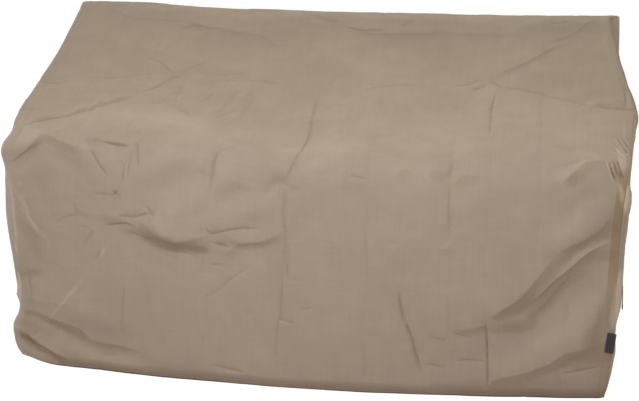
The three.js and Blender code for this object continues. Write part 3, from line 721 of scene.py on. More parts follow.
def curve_through(route, rng, wobble):
    """A route's smooth curve at short steps, a little unsteady, as a crease in real cloth is."""
    route = np.array(route, float)
    along = np.concatenate([[0], np.cumsum(np.hypot(*np.diff(route, axis=0).T))])
    steps = np.linspace(0, along[-1], max(2, round(along[-1] / CREASE_STEP)) + 1)
    curve = np.stack([read(np.stack([along, route[:, k]], -1), 1, steps) for k in range(2)], -1)
    knots = np.arange(0, along[-1] + 2 * WOBBLE_STEP, WOBBLE_STEP)
    sway = np.interp(steps, knots, rng.normal(0, wobble, len(knots))) * np.sin(np.pi * steps / along[-1])
    return curve + sway[:, None] * leftward(curve)


def leftward(curve):
    """The direction to the left of a curve, at each of its points."""
    direction = unit(np.gradient(curve, axis=0))
    return np.stack([-direction[:, 1], direction[:, 0]], -1)


def pack_creases(lines, ends, strengths, upright, rng):
    """Creases left by packing, in short pieces that each differ a little. The upright ones are sunk."""
    creases = []
    for line in lines:
        for start in np.arange(ends[0], ends[1] - PACK_PIECE, PACK_PIECE):
            height = PACK_DEPTH * rng.uniform(*strengths) * (-1 if upright else 1)
            off = line + rng.normal(0, PACK_SHIFT, 2)
            route = np.array([(off[0], start), (off[1], start + PACK_PIECE)])
            curve = curve_through(route if upright else route[:, ::-1], rng, WOBBLE)
            creases.append(Crease(height, PACK_WIDTH, PACK_WIDTH, CREASE_POWER, curve))
    return creases


def sharp_creases():
    """Every sharp crease that the mesh follows: those of the tables first, then those of packing."""
    rng = np.random.default_rng(SEED)
    creases = [Crease(CREASE_EASE * height, left, right, CREASE_POWER, curve_through(route, rng, WOBBLE))
               for height, left, right, route in CREASES.values()]
    for count, height, width, step, route in GATHERS.values():
        for i in range(count):
            moved = np.array(route) + i * np.array(step) + rng.normal(0, GATHER_SHIFT, (len(route), 2))
            curve = curve_through(moved, rng, GATHER_WOBBLE)
            creases.append(Crease(height * (-1) ** i, width, width, CREASE_POWER, curve))
    for table, power in ((TURNS, TURN_POWER), (FACES, FACE_POWER)):
        creases += [Crease(height, above, below, power, curve_through(route, rng, WOBBLE))
                    for height, above, below, route in table.values()]
    creases += pack_creases(PACK_UPRIGHT, PACK_UPRIGHT_ENDS, PACK_UPRIGHT_SHARE, True, rng)
    return creases + pack_creases(PACK_LEVEL, PACK_LEVEL_ENDS, PACK_LEVEL_SHARE, False, rng)


def small_creases(count, low, high, seed):
    """Short faint creases scattered over a part of the cloth, from its low corner to its high one."""
    rng = np.random.default_rng(seed)
    creases = []
    for _ in range(count):
        centre = rng.uniform(low, high)
        turn = rng.normal(rng.choice(SMALL_TURNS) * math.pi / 2, SMALL_TURN_SPREAD)
        half = rng.uniform(*SMALL_LENGTH) / 2 * np.array((math.cos(turn), math.sin(turn)))
        height = rng.uniform(*SMALL_HEIGHT) * rng.choice((-1, 1))
        left, right = rng.uniform(*SMALL_WIDTH, 2)
        bent = centre + rng.normal(0, SMALL_BEND, 2)
        route = np.array((centre - half, bent, centre + half))
        creases.append(Crease(height, left, right, CREASE_POWER, route))
    return creases


def side_creases(side):
    """Creases of a side panel, in places of depth and height: from packing, from its corners, and small.
    On the right they only sink, so that the outline stays where it is."""
    rng = np.random.default_rng(SEED + 50 + side)
    low, middle, high = PACK_SIDE_ENDS[0]
    routes = [[(y, low), (y + rng.normal(0, PACK_SIDE_SHIFT), middle), (y, high)]
              for y in PACK_SIDE_UPRIGHT]
    front, middle, back = PACK_SIDE_ENDS[1]
    routes += [[(front, z), (middle, z + rng.normal(0, PACK_SIDE_SHIFT)), (back, z)]
               for z in PACK_SIDE_LEVEL]
    creases = [Crease(PACK_SIDE_HEIGHT, PACK_WIDTH, PACK_WIDTH, CREASE_POWER,
                      curve_through(route, rng, SIDE_WOBBLE)) for route in routes]
    for height, left, right, route in SIDE_CREASES.values():
        moved = np.array(route) + rng.normal(0, SIDE_SHIFT, 2)
        lift = height if side < 0 else -SUNK_SHARE * abs(height)
        creases.append(Crease(lift, left, right, CREASE_POWER, curve_through(moved, rng, SIDE_WOBBLE)))
    return creases + small_creases(SMALL_SIDE_COUNT, *SMALL_SIDE_AREA, SEED + 60 + side)


SHARP = sharp_creases()
SMALL = small_creases(SMALL_COUNT, *SMALL_AREA, SEED + 11)
SMALL += small_creases(SMALL_BACK_COUNT, *SMALL_BACK_AREA, SEED + 12)


# ---------------------------------------------------------------- the shape of the cloth
def sharp_profile(section, up):
    """The sharp outline of the cloth in one upright section."""
    hem_y, hem_z, belly, shoulder_y, shoulder_z, sag, ridge_z = section
    t = np.clip(up / FRONT_LENGTH, 0, 1)
    y = mix(hem_y, shoulder_y, t) - belly * hump(t)
    z = mix(hem_z, shoulder_z, t)
    t = np.clip((up - FRONT_LENGTH) / SLOPE_LENGTH, 0, 1)
    y += (RIDGE_FRONT_Y - shoulder_y) * t
    z += (ridge_z - shoulder_z) * t - sag * hump(t)
    t = np.clip((up - RIDGE_START) / RIDGE_LENGTH, 0, 1)
    y += (RIDGE_BACK_Y - RIDGE_FRONT_Y) * t
    t = np.clip((up - BACK_START) / BACK_LENGTH, 0, 1)
    y += (BACK_HEM_Y - RIDGE_BACK_Y) * t + BACK_BULGE * hump(t)
    z -= ridge_z * t
    return y, z


def bare_cloth(x, up):
    """The cloth without any fold: an array of x, y, z in millimetres."""
    *section, turn = [read(SECTIONS, column, x) for column in range(1, 9)]
    turn = mix(turn, RIDGE_TURN, smoothstep(*RIDGE_TURN_FROM, up))
    reach = np.maximum(np.minimum(turn, np.minimum(up, PANEL_LENGTH - up)), 0)
    y, z = np.zeros(x.shape), np.zeros(x.shape)
    for shift in np.linspace(-1, 1, TURN_SAMPLES):
        part_y, part_z = sharp_profile(section, up + shift * reach)
        y += part_y / TURN_SAMPLES
        z += part_z / TURN_SAMPLES
    return np.stack([x, y, z], -1)


def up_the_cloth(shape, x, up, step):
    """From a step below a place to a step above it, on one of the shapes of the cloth."""
    return shape(x, np.minimum(up + step, PANEL_LENGTH)) - shape(x, np.maximum(up - step, 0))


def folded_cloth(x, up):
    """The cloth with its main folds, which never move the side edges in or out."""
    along = up_the_cloth(bare_cloth, x, up, BARE_STEP)
    out = unit(np.stack([0 * x, -along[:, 2], along[:, 1]], -1))
    return bare_cloth(x, up) + out * main_lift(x, up)[:, None]


def outward(x, up):
    """The direction out of the folded cloth."""
    across = folded_cloth(x + FOLDED_STEP, up) - folded_cloth(x - FOLDED_STEP, up)
    return unit(np.cross(across, up_the_cloth(folded_cloth, x, up, FOLDED_STEP)))


def from_seam(x, up):
    """How far inside the side edges a place on the main panel is."""
    return np.minimum(x - read(REACH, 1, up), read(REACH, 2, up) - x)


def doubled(x, up):
    """How far inside the seam that is turned onto the main panel, the right one, a place is."""
    return np.maximum(read(REACH, 2, up) - x, SEAM_BAND * smoothstep(*SEAM_FADES, up))


def relief(x, up):
    """Creases, hem and unevenness, as a height above the folded cloth."""
    height = crease_lift(SHARP, x, up) + crease_lift(SMALL, x, up)
    height += unevenness(UNEVENNESS, x, up, SEED)
    height += unevenness(BACK_UNEVENNESS, x, up, SEED) * smoothstep(*BACK_UNEVEN_FROM, up)
    inset = from_seam(x, up)
    rises = smoothstep(0, SEAM_STEPS[0], inset)
    height += SEAM_RISE * rises * (1 - smoothstep(SEAM_BAND - SEAM_STEPS[1], SEAM_BAND, inset))
    turned = (1 - np.minimum(inset / EDGE_WIDTH, 1)) ** 2
    height -= np.where(x < 0, *EDGE_TURN) * turned * (1 - smoothstep(*EDGE_TURN_ENDS, up))
    height -= HEM_DRAWN_IN * (1 - smoothstep(0, HEM_DEPTH + 6, up))
    return height - HEM_GROOVE[0] * np.exp(-((up - HEM_DEPTH) / HEM_GROOVE[1]) ** 2)


def cloth(x, up):
    return folded_cloth(x, up) + outward(x, up) * relief(x, up)[:, None]


# ---------------------------------------------------------------- making meshes
def in_scene(name, data):
    """An object of the scene, made from its mesh, lamp or camera."""
    made = bpy.data.objects.new(name, data)
    bpy.context.scene.collection.objects.link(made)
    return made


def rim_places():
    """Places up the two side edges of the main panel where the rows of a side panel meet them: on each
    side one list for its front edge and one for its back edge, paired by their share of the height."""
    front = np.concatenate([RIM_HEM, np.arange(RIM_START, SIDE_TOP[0], RIM_STEP), SIDE_TOP[:1]])
    pairs = []
    for column in (LEFT, RIGHT):
        back = np.linspace(PANEL_LENGTH, SIDE_TOP[1], RIM_SAMPLES)
        front_z = folded_cloth(read(REACH, column, front), front)[:, 2]
        back_z = folded_cloth(read(REACH, column, back), back)[:, 2]
        share = (front_z - front_z[0]) / (front_z[-1] - front_z[0])
        back_share = (back_z - back_z[0]) / (back_z[-1] - back_z[0])
        pairs.append((front, np.interp(np.maximum.accumulate(share), back_share, back)))
    return pairs


def rim_points(column, places):
    return np.stack([read(REACH, column, places), places], -1)


def inside(points, margin):
    """Which points are on the main panel, at least a margin from its sides and half of it from its hems."""
    x, up = points.T
    between_sides = (x > read(REACH, LEFT, up) + margin) & (x < read(REACH, RIGHT, up) - margin)
    return between_sides & (up > margin / 2) & (up < PANEL_LENGTH - margin / 2)


def apart(points, others, distance):
    """The points that are at least a distance from every other point given."""
    tree = KDTree(len(others))
    for i, (x, up) in enumerate(others):
        tree.insert((x, up, 0), i)
    tree.balance()
    return points[[tree.find((x, up, 0))[2] >= distance for x, up in points]]


def points_beside(rims):
    """Points of the flat main panel beside its hems, its side seams and its creases."""
    close = [np.array([(x, up) for up in HEM_SIDES for x in HEM_ACROSS], float)]
    for column, pair in zip((LEFT, RIGHT), rims):
        rim = rim_points(column, pair[0][len(RIM_HEM) - 1:])
        close += [rim - np.sign(rim) * (inset, 0) for inset in SEAM_SIDES]
    for crease in SHARP:
        left = leftward(crease.route)
        close += [crease.route + left * shift * sign for shift in CREASE_SIDES for sign in (-1, 1)]
    close = np.concatenate(close)
    return close[inside(close, CLOSE_MARGIN)]


def lattice_points():
    """Points all over the flat main panel: in rows of triangles, and in squares down the back."""
    row = CLOTH_STEP * math.sqrt(0.75)
    lattice = [
        (x + (j % 2) * CLOTH_STEP / 2, j * row)
        for j in range(2, int(BACK_START / row) + 4)
        for x in np.arange(*CLOTH_ACROSS, CLOTH_STEP)
    ]
    lattice += [
        (x, up)
        for up in np.arange(*BACK_UP, BACK_STEP)
        for x in np.arange(*BACK_ACROSS, BACK_STEP)
    ]
    lattice = np.array(lattice)
    return lattice[inside(lattice, LATTICE_MARGIN)]


def flat_points(rims):
    """Points of the flat main panel, closest together at its creases and seams, and the edges that
    the mesh has to keep."""
    chains = [rim_points(column, np.concatenate([front, back[::-1]]))
              for column, (front, back) in zip((LEFT, RIGHT), rims)]
    first_crease = sum(len(chain) - 1 for chain in chains)
    chains += [crease.route[inside(crease.route, CREASE_MARGIN)] for crease in SHARP]
    starts = np.cumsum([0] + [len(chain) for chain in chains])
    edges = [(start + i, start + i + 1)
             for start, chain in zip(starts, chains) for i in range(len(chain) - 1)]
    hems = [(x, up) for up in (0, PANEL_LENGTH) for x in HEM_ACROSS]
    points = np.concatenate([*chains, hems])
    points = np.concatenate([points, apart(points_beside(rims), points, CLOSEST)])
    points = np.concatenate([points, apart(lattice_points(), points, LATTICE_GAP)])
    return points, edges, first_crease


def new_piece(name, points, faces, flat, **values):
    """A mesh from points in millimetres, with a UV map in metres of flat cloth and a value or more for
    each point."""
    mesh = bpy.data.meshes.new(name)
    mesh.from_pydata((points * MM).tolist(), [], faces.tolist())
    corners = np.empty(len(mesh.loops), np.int32)
    mesh.loops.foreach_get("vertex_index", corners)
    layer = mesh.uv_layers.new(name="UVMap")
    layer.data.foreach_set("uv", (flat * MM)[corners].astype(np.float32).ravel())
    for value_name, numbers in values.items():
        stored = mesh.attributes.new(value_name, "FLOAT", "POINT")
        stored.data.foreach_set("value", numbers.astype(np.float32))
    mesh.shade_smooth()
    return in_scene(name, mesh)


def points_of(piece):
    """The points of a mesh, in millimetres."""
    places = np.empty(3 * len(piece.data.vertices), np.float32)
    piece.data.vertices.foreach_get("co", places)
    return places.reshape(-1, 3) / MM


def add_thickness(piece):
    wall = piece.modifiers.new("thickness", "SOLIDIFY")
    wall.thickness = CLOTH_THICKNESS * MM
    wall.offset = -1


def main_panel(rims):
    points, edges, first_crease = flat_points(rims)
    found = delaunay_2d_cdt([Vector(p) for p in points], edges, [], 0, 1e-3)
    flat = np.array([tuple(p) for p in found[0]])
    faces = np.array(found[2])
    faces = faces[inside(flat[faces].mean(1), 0)]
    x, up = flat.T
    # The main panel's values carry painted shade in folds and hollows, painted highlights, and the seam's
    # shade
    piece = new_piece(
        "main_panel_cloth", cloth(x, up), faces, flat,
        fold_shade=np.maximum(fold_shade(x, up), strength_at(PAINTED_SHADE, x, up)),
        edge_light=strength_at(PAINTED_LIGHTS, x, up),
        from_seam=doubled(x, up) * MM,
        seam_shade=np.interp(up, *np.transpose(SEAM_SHADE)))
    creased = {tuple(sorted(edge)) for edge, made_from in zip(found[1], found[4])
               if any(source >= first_crease for source in made_from)}
    for edge in piece.data.edges:
        edge.use_edge_sharp = tuple(sorted(edge.vertices)) in creased
    return piece


def side_panel(name, column, front, back):
    """A side panel from the front edge of the main panel to its back edge."""
    side = -1 if column == LEFT else 1
    edges = [rim_points(column, places) for places in (front, back)]
    smooth_front, smooth_back = (folded_cloth(*edge.T) for edge in edges)
    true_front, true_back = (cloth(*edge.T) for edge in edges)
    depth = np.linspace(0, 1, SIDE_COLUMNS + 1) ** SIDE_CROWDING
    d = depth[None, :, None]
    points = mix(smooth_front[:, None], smooth_back[:, None], d)
    bulge = read(SIDE_BULGE, column, points[..., 2])
    bend = math.log(0.5) / math.log(BULGE_PLACE[column])
    points[..., 0] += side * bulge * hump(depth**bend)
    inboard = smoothstep(0, 0.06, np.minimum(depth, 1 - depth))
    y, z = points[..., 1], points[..., 2]
    uneven = unevenness(SIDE_UNEVENNESS, y, z, SEED + side)
    creased = crease_lift(side_creases(side), y.ravel(), z.ravel()).reshape(y.shape)
    points[..., 0] += side * inboard * (uneven + creased)
    length = np.linalg.norm(smooth_back - smooth_front, axis=-1)[:, None, None]
    points += (true_front - smooth_front)[:, None] * np.exp(-d * length / SEAM_SETTLES)
    points += (true_back - smooth_back)[:, None] * np.exp(-(1 - d) * length / SEAM_SETTLES)
    points[:, 0], points[:, -1] = true_front, true_back
    if side < 0:
        points = points[:, ::-1]
    rows, columns = points.shape[:2]
    index = np.arange(rows * columns).reshape(rows, columns)
    faces = np.stack([index[:-1, :-1], index[:-1, 1:], index[1:, 1:], index[1:, :-1]], -1).reshape(-1, 4)
    flat = points.reshape(-1, 3)
    seam = (depth * length[:, 0]).ravel()
    # Painted highlight along the front edge of the right side panel
    light = np.interp(flat[:, 2], *np.transpose(SIDE_PAINTED_LIGHT)) * (1 - smoothstep(*SIDE_PAINTED_LIGHT_WIDTH, seam))
    return new_piece(
        name, flat, faces, flat[:, 1:],
        fold_shade=0 * seam,
        edge_light=light * (side > 0),
        from_seam=seam * MM,
        seam_shade=0 * seam + SIDE_SEAM_SHADE)


def plain_mesh(name, points, faces, flat):
    """A small closed piece from points in millimetres, smooth but for its sharp edges."""
    piece = new_piece(name, points, faces, flat)
    piece.data.set_sharp_from_angle(angle=math.radians(50))
    return piece


def tube_faces(rows, around):
    """Faces of a tube of rings of points, closed at its two ends."""
    index = np.arange(rows * around).reshape(rows, around)
    after = np.roll(index, -1, 1)
    walls = np.stack([index[:-1], after[:-1], after[1:], index[1:]], -1).reshape(-1, 4)
    half = around // 2
    ends = []
    for ring, turn in ((index[0], -1), (index[-1], 1)):
        strip = np.stack([ring[:half - 1], ring[1:half], ring[::-1][1:half], ring[::-1][:half - 1]], -1)
        ends.append(strip[:, ::turn])
    return np.concatenate([walls, *ends])


def seam_tag():
    """A bare woven tag, folded double round its free edge and turned under at both ends."""
    across = np.linspace(-1, 1, TAG_COLUMNS)
    hem, proud = TAG_HEMS
    ups = np.concatenate([(0, 0.4, 1.5, hem - 0.5, hem + 0.5), np.linspace(8, TAG_HEIGHT - 8, TAG_ROWS)])
    ups = np.concatenate([ups, TAG_HEIGHT - ups[4::-1]]) - TAG_HEIGHT / 2
    end_round, free_round, sewn_round = TAG_ROUNDING
    front = []
    for up in ups:
        from_end = TAG_HEIGHT / 2 - abs(up)
        edge = math.sqrt(min(from_end / end_round, 1))
        thicker = proud * (1 - smoothstep(hem - HEM_STEP, hem + HEM_STEP, from_end))
        round_off = np.sqrt(np.clip((1 - across) * TAG_WIDTH / 2 / free_round, 0, 1))
        round_off *= np.sqrt(np.clip((1 + across) * TAG_WIDTH / 2 / sewn_round, 0, 1))
        swell = TAG_PLY * (1 + TAG_SWELL * smoothstep(*TAG_SWELLS, across)) + thicker
        front.append(edge * round_off * swell)
    front = np.array(front)
    x = np.broadcast_to(across * TAG_WIDTH / 2, front.shape)
    up = np.broadcast_to(ups[:, None], front.shape)
    curl = TAG_CURL * smoothstep(*TAG_CURLS, across)[None] * (0.6 + 0.4 * np.sin(up / 17 + 0.6))
    faces = [np.stack([x, sign * front - curl, up], -1) for sign in (-1, 1)]
    ring = np.concatenate([faces[0], faces[1][:, ::-1]], 1)
    points = ring.reshape(-1, 3)
    turn = np.array([[math.cos(TAG_LEAN), 0, math.sin(TAG_LEAN)], [0, 1, 0],
                     [-math.sin(TAG_LEAN), 0, math.cos(TAG_LEAN)]])
    placed = points @ turn.T
    behind = cloth(*(np.array(TAG_PLACE) + placed[:, [0, 2]]).T)
    placed += (TAG_PLACE[0], behind[:, 1].min() - 2 * TAG_PLY, TAG_PLACE[1])
    return plain_mesh("seam_tag_cloth", placed, tube_faces(len(ups), ring.shape[1]), points[:, [0, 2]])


def webbing_tab(panel):
    """A short length of ribbed webbing that hangs from the right side panel."""
    cloth_x, cloth_y, cloth_z = points_of(panel).T
    low, high = (np.array(corner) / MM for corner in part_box("webbing_tab"))
    middle = (low[1] + high[1]) / 2
    hem, proud = TAB_HEM
    hem_top = TAB_LENGTH - hem
    drops = np.concatenate([np.linspace(0, hem_top - 1, TAB_ROWS[0]),
                            np.linspace(hem_top, TAB_LENGTH - TAB_ROUNDING, TAB_ROWS[1]), [TAB_LENGTH]])
    across = np.linspace(-1, 1, 6 * TAB_RIBS + 1)
    rib = TAB_RIB_HEIGHT * np.abs(np.sin(np.pi * TAB_RIBS * (across + 1) / 2))
    rib *= 1 - 0.5 * (np.abs(across) > 0.97)
    near = np.abs(cloth_y - middle) < TAB_WIDTH
    skin = [cloth_x[near & (np.abs(cloth_z - TAB_TOP + drop) < TAB_SEARCH)].max() for drop in drops]
    inner = np.maximum(np.maximum.accumulate(np.array(skin)[::-1])[::-1], skin[0]) + TAB_CLEAR
    inner += TAB_LEAN * (1 - (1 - drops / TAB_LENGTH) ** 2)
    rings = []
    for drop, inside_x in zip(drops, inner):
        thicker = proud * smoothstep(hem_top - TAB_HEM_STEP, hem_top + TAB_HEM_STEP, drop)
        end = math.sqrt(min((TAB_LENGTH - drop) / TAB_ROUNDING, 1))
        y = middle + across * TAB_WIDTH / 2
        z = np.full(y.shape, TAB_TOP - drop)
        outer_x = inside_x + end * (TAB_THICKNESS - TAB_RIB_HEIGHT + thicker + rib)
        inner_x = inside_x + 0.25 * (1 - end) + TAB_RIB_HEIGHT - rib
        rings.append(np.concatenate([np.stack([outer_x, y, z], -1), np.stack([inner_x, y, z], -1)[::-1]]))
    points = np.array(rings[::-1])
    rows, around = points.shape[:2]
    points = points.reshape(-1, 3)
    return plain_mesh("webbing_tab_strap", points, tube_faces(rows, around), points[:, 1:])


# ---------------------------------------------------------------- stitches
def seam_rows():
    """Rows of stitches on the main panel: along its two hems, and beside its side seams."""
    near, far = STITCH_ROWS
    rows = []
    for up in (far, PANEL_LENGTH - far):
        x = np.arange(read(REACH, LEFT, up) + near, read(REACH, RIGHT, up) - near, ROW_STEP)
        rows.append((x, np.full(x.shape, up)))
    for column, inset in ((LEFT, near), (RIGHT, near), (RIGHT, far)):
        up = np.arange(2, PANEL_LENGTH, ROW_STEP)
        rim = read(REACH, column, up)
        rows.append((rim - np.sign(rim) * inset, up))
    lines = []
    for x, up in rows:
        places = cloth(x, up)
        beside = cloth(x + CREASED_STEP, up) - places
        lines.append((places, unit(np.cross(beside, up_the_cloth(cloth, x, up, CREASED_STEP)))))
    return lines


def side_rows(panel, side):
    """Rows of stitches on a side panel: along its hem, and on the left beside its front seam."""
    grid = points_of(panel).reshape(-1, SIDE_COLUMNS + 1, 3)
    if side < 0:
        grid = grid[:, ::-1]
    facing = unit(np.cross(np.gradient(grid, axis=1), np.gradient(grid, axis=0))) * side
    steps = np.arange(SIDE_COLUMNS + 1)
    hem = [np.interp(STITCH_ROWS[1], column[:, 2], np.arange(len(column)))
           for column in grid.transpose(1, 0, 2)]
    rows = [(hem, steps)]
    if side < 0:
        reach = np.cumsum(np.linalg.norm(np.diff(grid, axis=1), axis=-1), 1)
        rows += [(np.arange(len(grid)), [np.interp(inset, [0, *row], steps) for row in reach])
                 for inset in STITCH_ROWS]
    return [(between(grid, *row), unit(between(facing, *row))) for row in rows]


def between(grid, row, column):
    """Values of a grid at places between its points."""
    row, column = np.broadcast_arrays(np.asarray(row, float), np.asarray(column, float))
    r = np.clip(row.astype(int), 0, grid.shape[0] - 2)
    c = np.clip(column.astype(int), 0, grid.shape[1] - 2)
    fr, fc = (row - r)[:, None], (column - c)[:, None]
    return mix(mix(grid[r, c], grid[r, c + 1], fc), mix(grid[r + 1, c], grid[r + 1, c + 1], fc), fr)


def stitch_tree(thread):
    """Stitches laid end to end along lines, each a small rounded length of thread."""
    tree = bpy.data.node_groups.new("stitches_along_lines", "GeometryNodeTree")
    for direction in ("INPUT", "OUTPUT"):
        tree.interface.new_socket("Geometry", in_out=direction, socket_type="NodeSocketGeometry")
    graph = Graph(tree)
    given, result = graph.add("NodeGroupInput"), graph.add("NodeGroupOutput")
    lines = graph.add("GeometryNodeMeshToCurve", None, Mesh=given.outputs["Geometry"]).outputs["Curve"]
    spaced = graph.add("GeometryNodeResampleCurve", {"mode": "LENGTH"}, Curve=lines,
                       Length=STITCH_PITCH * MM)
    facing = graph.add("GeometryNodeInputNamedAttribute", {"data_type": "FLOAT_VECTOR"}, Name="facing")
    upright = graph.add("FunctionNodeAlignRotationToVector", {"axis": "Z"},
                        Vector=facing.outputs["Attribute"])
    onward = graph.add("FunctionNodeAlignRotationToVector", {"axis": "X", "pivot_axis": "Z"},
                       Rotation=upright.outputs[0], Vector=graph.add("GeometryNodeInputTangent").outputs[0])
    uneven = graph.add("FunctionNodeRandomValue", {"data_type": "FLOAT_VECTOR"}, Seed=SEED)
    for socket, value in zip(("Min", "Max"), STITCH_UNEVENNESS):
        uneven.inputs[socket].default_value = (value,) * 3
    ball = graph.add("GeometryNodeMeshUVSphere", None, Segments=6, Rings=4, Radius=0.5)
    size = tuple(part * MM for part in (STITCH_LENGTH, STITCH_WIDTH, STITCH_HEIGHT))
    one = graph.add("GeometryNodeTransform", None, Geometry=ball.outputs["Mesh"], Scale=size)
    placed = graph.add("GeometryNodeInstanceOnPoints", None, Points=spaced.outputs[0],
                       Instance=one.outputs[0], Rotation=onward.outputs[0], Scale=uneven.outputs["Value"])
    real = graph.add("GeometryNodeRealizeInstances", None, Geometry=placed.outputs[0])
    finished = graph.add("GeometryNodeSetMaterial", None, Geometry=real.outputs[0], Material=thread)
    graph.join(finished.outputs[0], result.inputs["Geometry"])
    return tree


def stitches(lines, thread):
    """All the stitches as one mesh, from lines of places and of the directions that the cloth faces."""
    starts = np.cumsum([0] + [len(line[0]) for line in lines])
    edges = [(a + i, a + i + 1) for a, b in zip(starts[:-1], starts[1:]) for i in range(b - a - 1)]
    places, facings = (np.concatenate(part) for part in zip(*lines))
    mesh = bpy.data.meshes.new("stitch_lines")
    mesh.from_pydata((places * MM).tolist(), edges, [])
    stored = mesh.attributes.new("facing", "FLOAT_VECTOR", "POINT")
    stored.data.foreach_set("vector", facings.astype(np.float32).ravel())
    holder = in_scene("stitch_lines", mesh)
    holder.modifiers.new("stitches", "NODES").node_group = stitch_tree(thread)
    made = bpy.data.meshes.new_from_object(holder.evaluated_get(bpy.context.evaluated_depsgraph_get()))
    bpy.data.objects.remove(holder)
    made.name = "cover_stitches"
    made.shade_smooth()
    return in_scene("cover_stitches", made)


# ---------------------------------------------------------------- materials
class Graph:
    """A node tree with short ways to add nodes and to join them."""

    def __init__(self, tree):
        self.tree = tree

    def add(self, kind, settings=None, **inputs):
        node = self.tree.nodes.new(kind)
        for key, value in (settings or {}).items():
            setattr(node, key, value)
        for key, value in inputs.items():
            self.join(value, node.inputs[int(key[1:]) if key[0] == "i" and key[1:].isdigit() else key])
        return node

    def join(self, value, socket):
        if isinstance(value, bpy.types.NodeSocket):
            self.tree.links.new(value, socket)
        else:
            socket.default_value = value

    def math(self, operation, a, b=0.0):
        return self.add("ShaderNodeMath", {"operation": operation}, i0=a, i1=b).outputs[0]

    def shared(self, a, b, share):
        """Two values added up, the first by its share and the second by the rest."""
        return self.math("ADD", self.math("MULTIPLY", a, share), self.math("MULTIPLY", b, 1 - share))

    def ramp(self, value, low, high, start=0.0, end=1.0):
        """A value between low and high, read off as one between start and end."""
        settings = {"interpolation_type": "SMOOTHSTEP"}
        node = self.add("ShaderNodeMapRange", settings, i0=value, i1=low, i2=high, i3=start, i4=end)
        return node.outputs[0]

    def tint(self, colour, by, share=1.0):
        """A colour multiplied by another where the share is 1."""
        mix_node = self.add("ShaderNodeMix", {"data_type": "RGBA", "blend_type": "MULTIPLY"})
        for socket, value in ((0, share), (6, colour), (7, by)):
            self.join((*value, 1) if isinstance(value, tuple) else value, mix_node.inputs[socket])
        return mix_node.outputs[2]

    def grey(self, level):
        return self.add("ShaderNodeCombineColor", None, Red=level, Green=level, Blue=level).outputs[0]

    def stored(self, name):
        """A value that the mesh holds for each of its points."""
        return self.add("ShaderNodeAttribute", {"attribute_name": name}).outputs["Fac"]

    def flat_place(self):
        """The place on the piece's own map of its flat shape, in metres."""
        return self.add("ShaderNodeUVMap", {"uv_map": "UVMap"}).outputs[0]

    def noise(self, vector, scale, detail=2.0):
        node = self.add("ShaderNodeTexNoise", None, Vector=vector, Scale=scale, Detail=detail)
        return node.outputs["Fac"]

    def streaks(self, vector, factors):
        """Noise drawn out along the threads of the cloth."""
        return self.noise(self.add("ShaderNodeMapping", None, Vector=vector, Scale=factors).outputs[0], 1.0)

    def threads(self, vector, direction, pitch):
        """Rounded threads side by side across one direction of the cloth."""
        settings = {"bands_direction": direction, "wave_profile": "SIN"}
        wave = self.add("ShaderNodeTexWave", settings, Vector=vector, Scale=math.pi / 10 / pitch)
        return wave.outputs["Fac"]

    def bump(self, height):
        return self.add("ShaderNodeBump", None, Strength=1.0, Distance=1.0, Height=height).outputs[0]


def new_material(name, colour, roughness):
    """A plain material, the graph of its nodes and the inputs of its shader."""
    material = bpy.data.materials.new(name)
    material.use_nodes = True
    surface = material.node_tree.nodes["Principled BSDF"].inputs
    surface["Base Color"].default_value = (*colour, 1)
    surface["Roughness"].default_value = roughness
    return material, Graph(material.node_tree), surface


def cover_material():
    """Coated taupe cloth of plain weave: painted shade, warmer and darker, in its folds and hollows, darker
    where the hem and the seams double it and with painted shade there, painted light where it is paler, and
    uneven as a large cloth is."""
    material, graph, surface = new_material("cover_cloth", CLOTH_COLOUR, 0.5)
    place = graph.flat_place()
    across, up = graph.add("ShaderNodeSeparateXYZ", None, Vector=place).outputs[:2]
    hem = graph.math("MULTIPLY", graph.ramp(up, *HEM_SHADE_UP), graph.ramp(across, *HEM_SHADE_ACROSS))
    back_hem = graph.ramp(up, *BACK_HEM_UP, 0, BACK_HEM_SHARE)
    seam_width = graph.ramp(graph.stored("from_seam"), (SEAM_BAND + 1) * MM, (SEAM_BAND - 1) * MM)
    # Painted shade in the folds, the hem and seams darker as doubled cloth with painted shade, a painted
    # shadow at the hem's edge, and painted light
    tints = (
        (FOLD_TINT, graph.stored("fold_shade")),
        (HEM_TINT, graph.math("MAXIMUM", hem, back_hem)),
        (HEM_SHADOW_TINT, graph.ramp(up, *HEM_SHADOW_UP)),
        (SEAM_TINT, graph.math("MULTIPLY", graph.stored("seam_shade"), seam_width)),
        (PAINTED_LIGHT_TINT, graph.stored("edge_light")),
    )
    colour = CLOTH_COLOUR
    for tint, share in tints:
        colour = graph.tint(colour, tint, share)
    warp, weft = (graph.threads(place, direction, WEAVE_PITCH) for direction in "XY")
    blotch = graph.shared(*(graph.noise(place, scale) for scale in BLOTCH_SCALES), 0.6)
    streak = graph.shared(*(graph.streaks(place, factors) for factors in STREAK_FACTORS), 0.5)
    level = graph.math("MULTIPLY", graph.ramp(blotch, *BLOTCHES), graph.ramp(streak, *STREAKS))
    level = graph.math("MULTIPLY", level, graph.ramp(graph.math("MULTIPLY", warp, weft), *THREADS))
    graph.join(graph.tint(colour, graph.grey(level)), surface["Base Color"])
    graph.join(graph.ramp(blotch, *CLOTH_ROUGHNESS), surface["Roughness"])
    weave = graph.math("MULTIPLY", graph.math("ADD", warp, weft), WEAVE_HEIGHT)
    crumple = graph.math("MULTIPLY", graph.noise(place, CRUMPLE_SCALE, 4), CRUMPLE_HEIGHT)
    graph.join(graph.bump(graph.math("ADD", weave, crumple)), surface["Normal"])
    return material


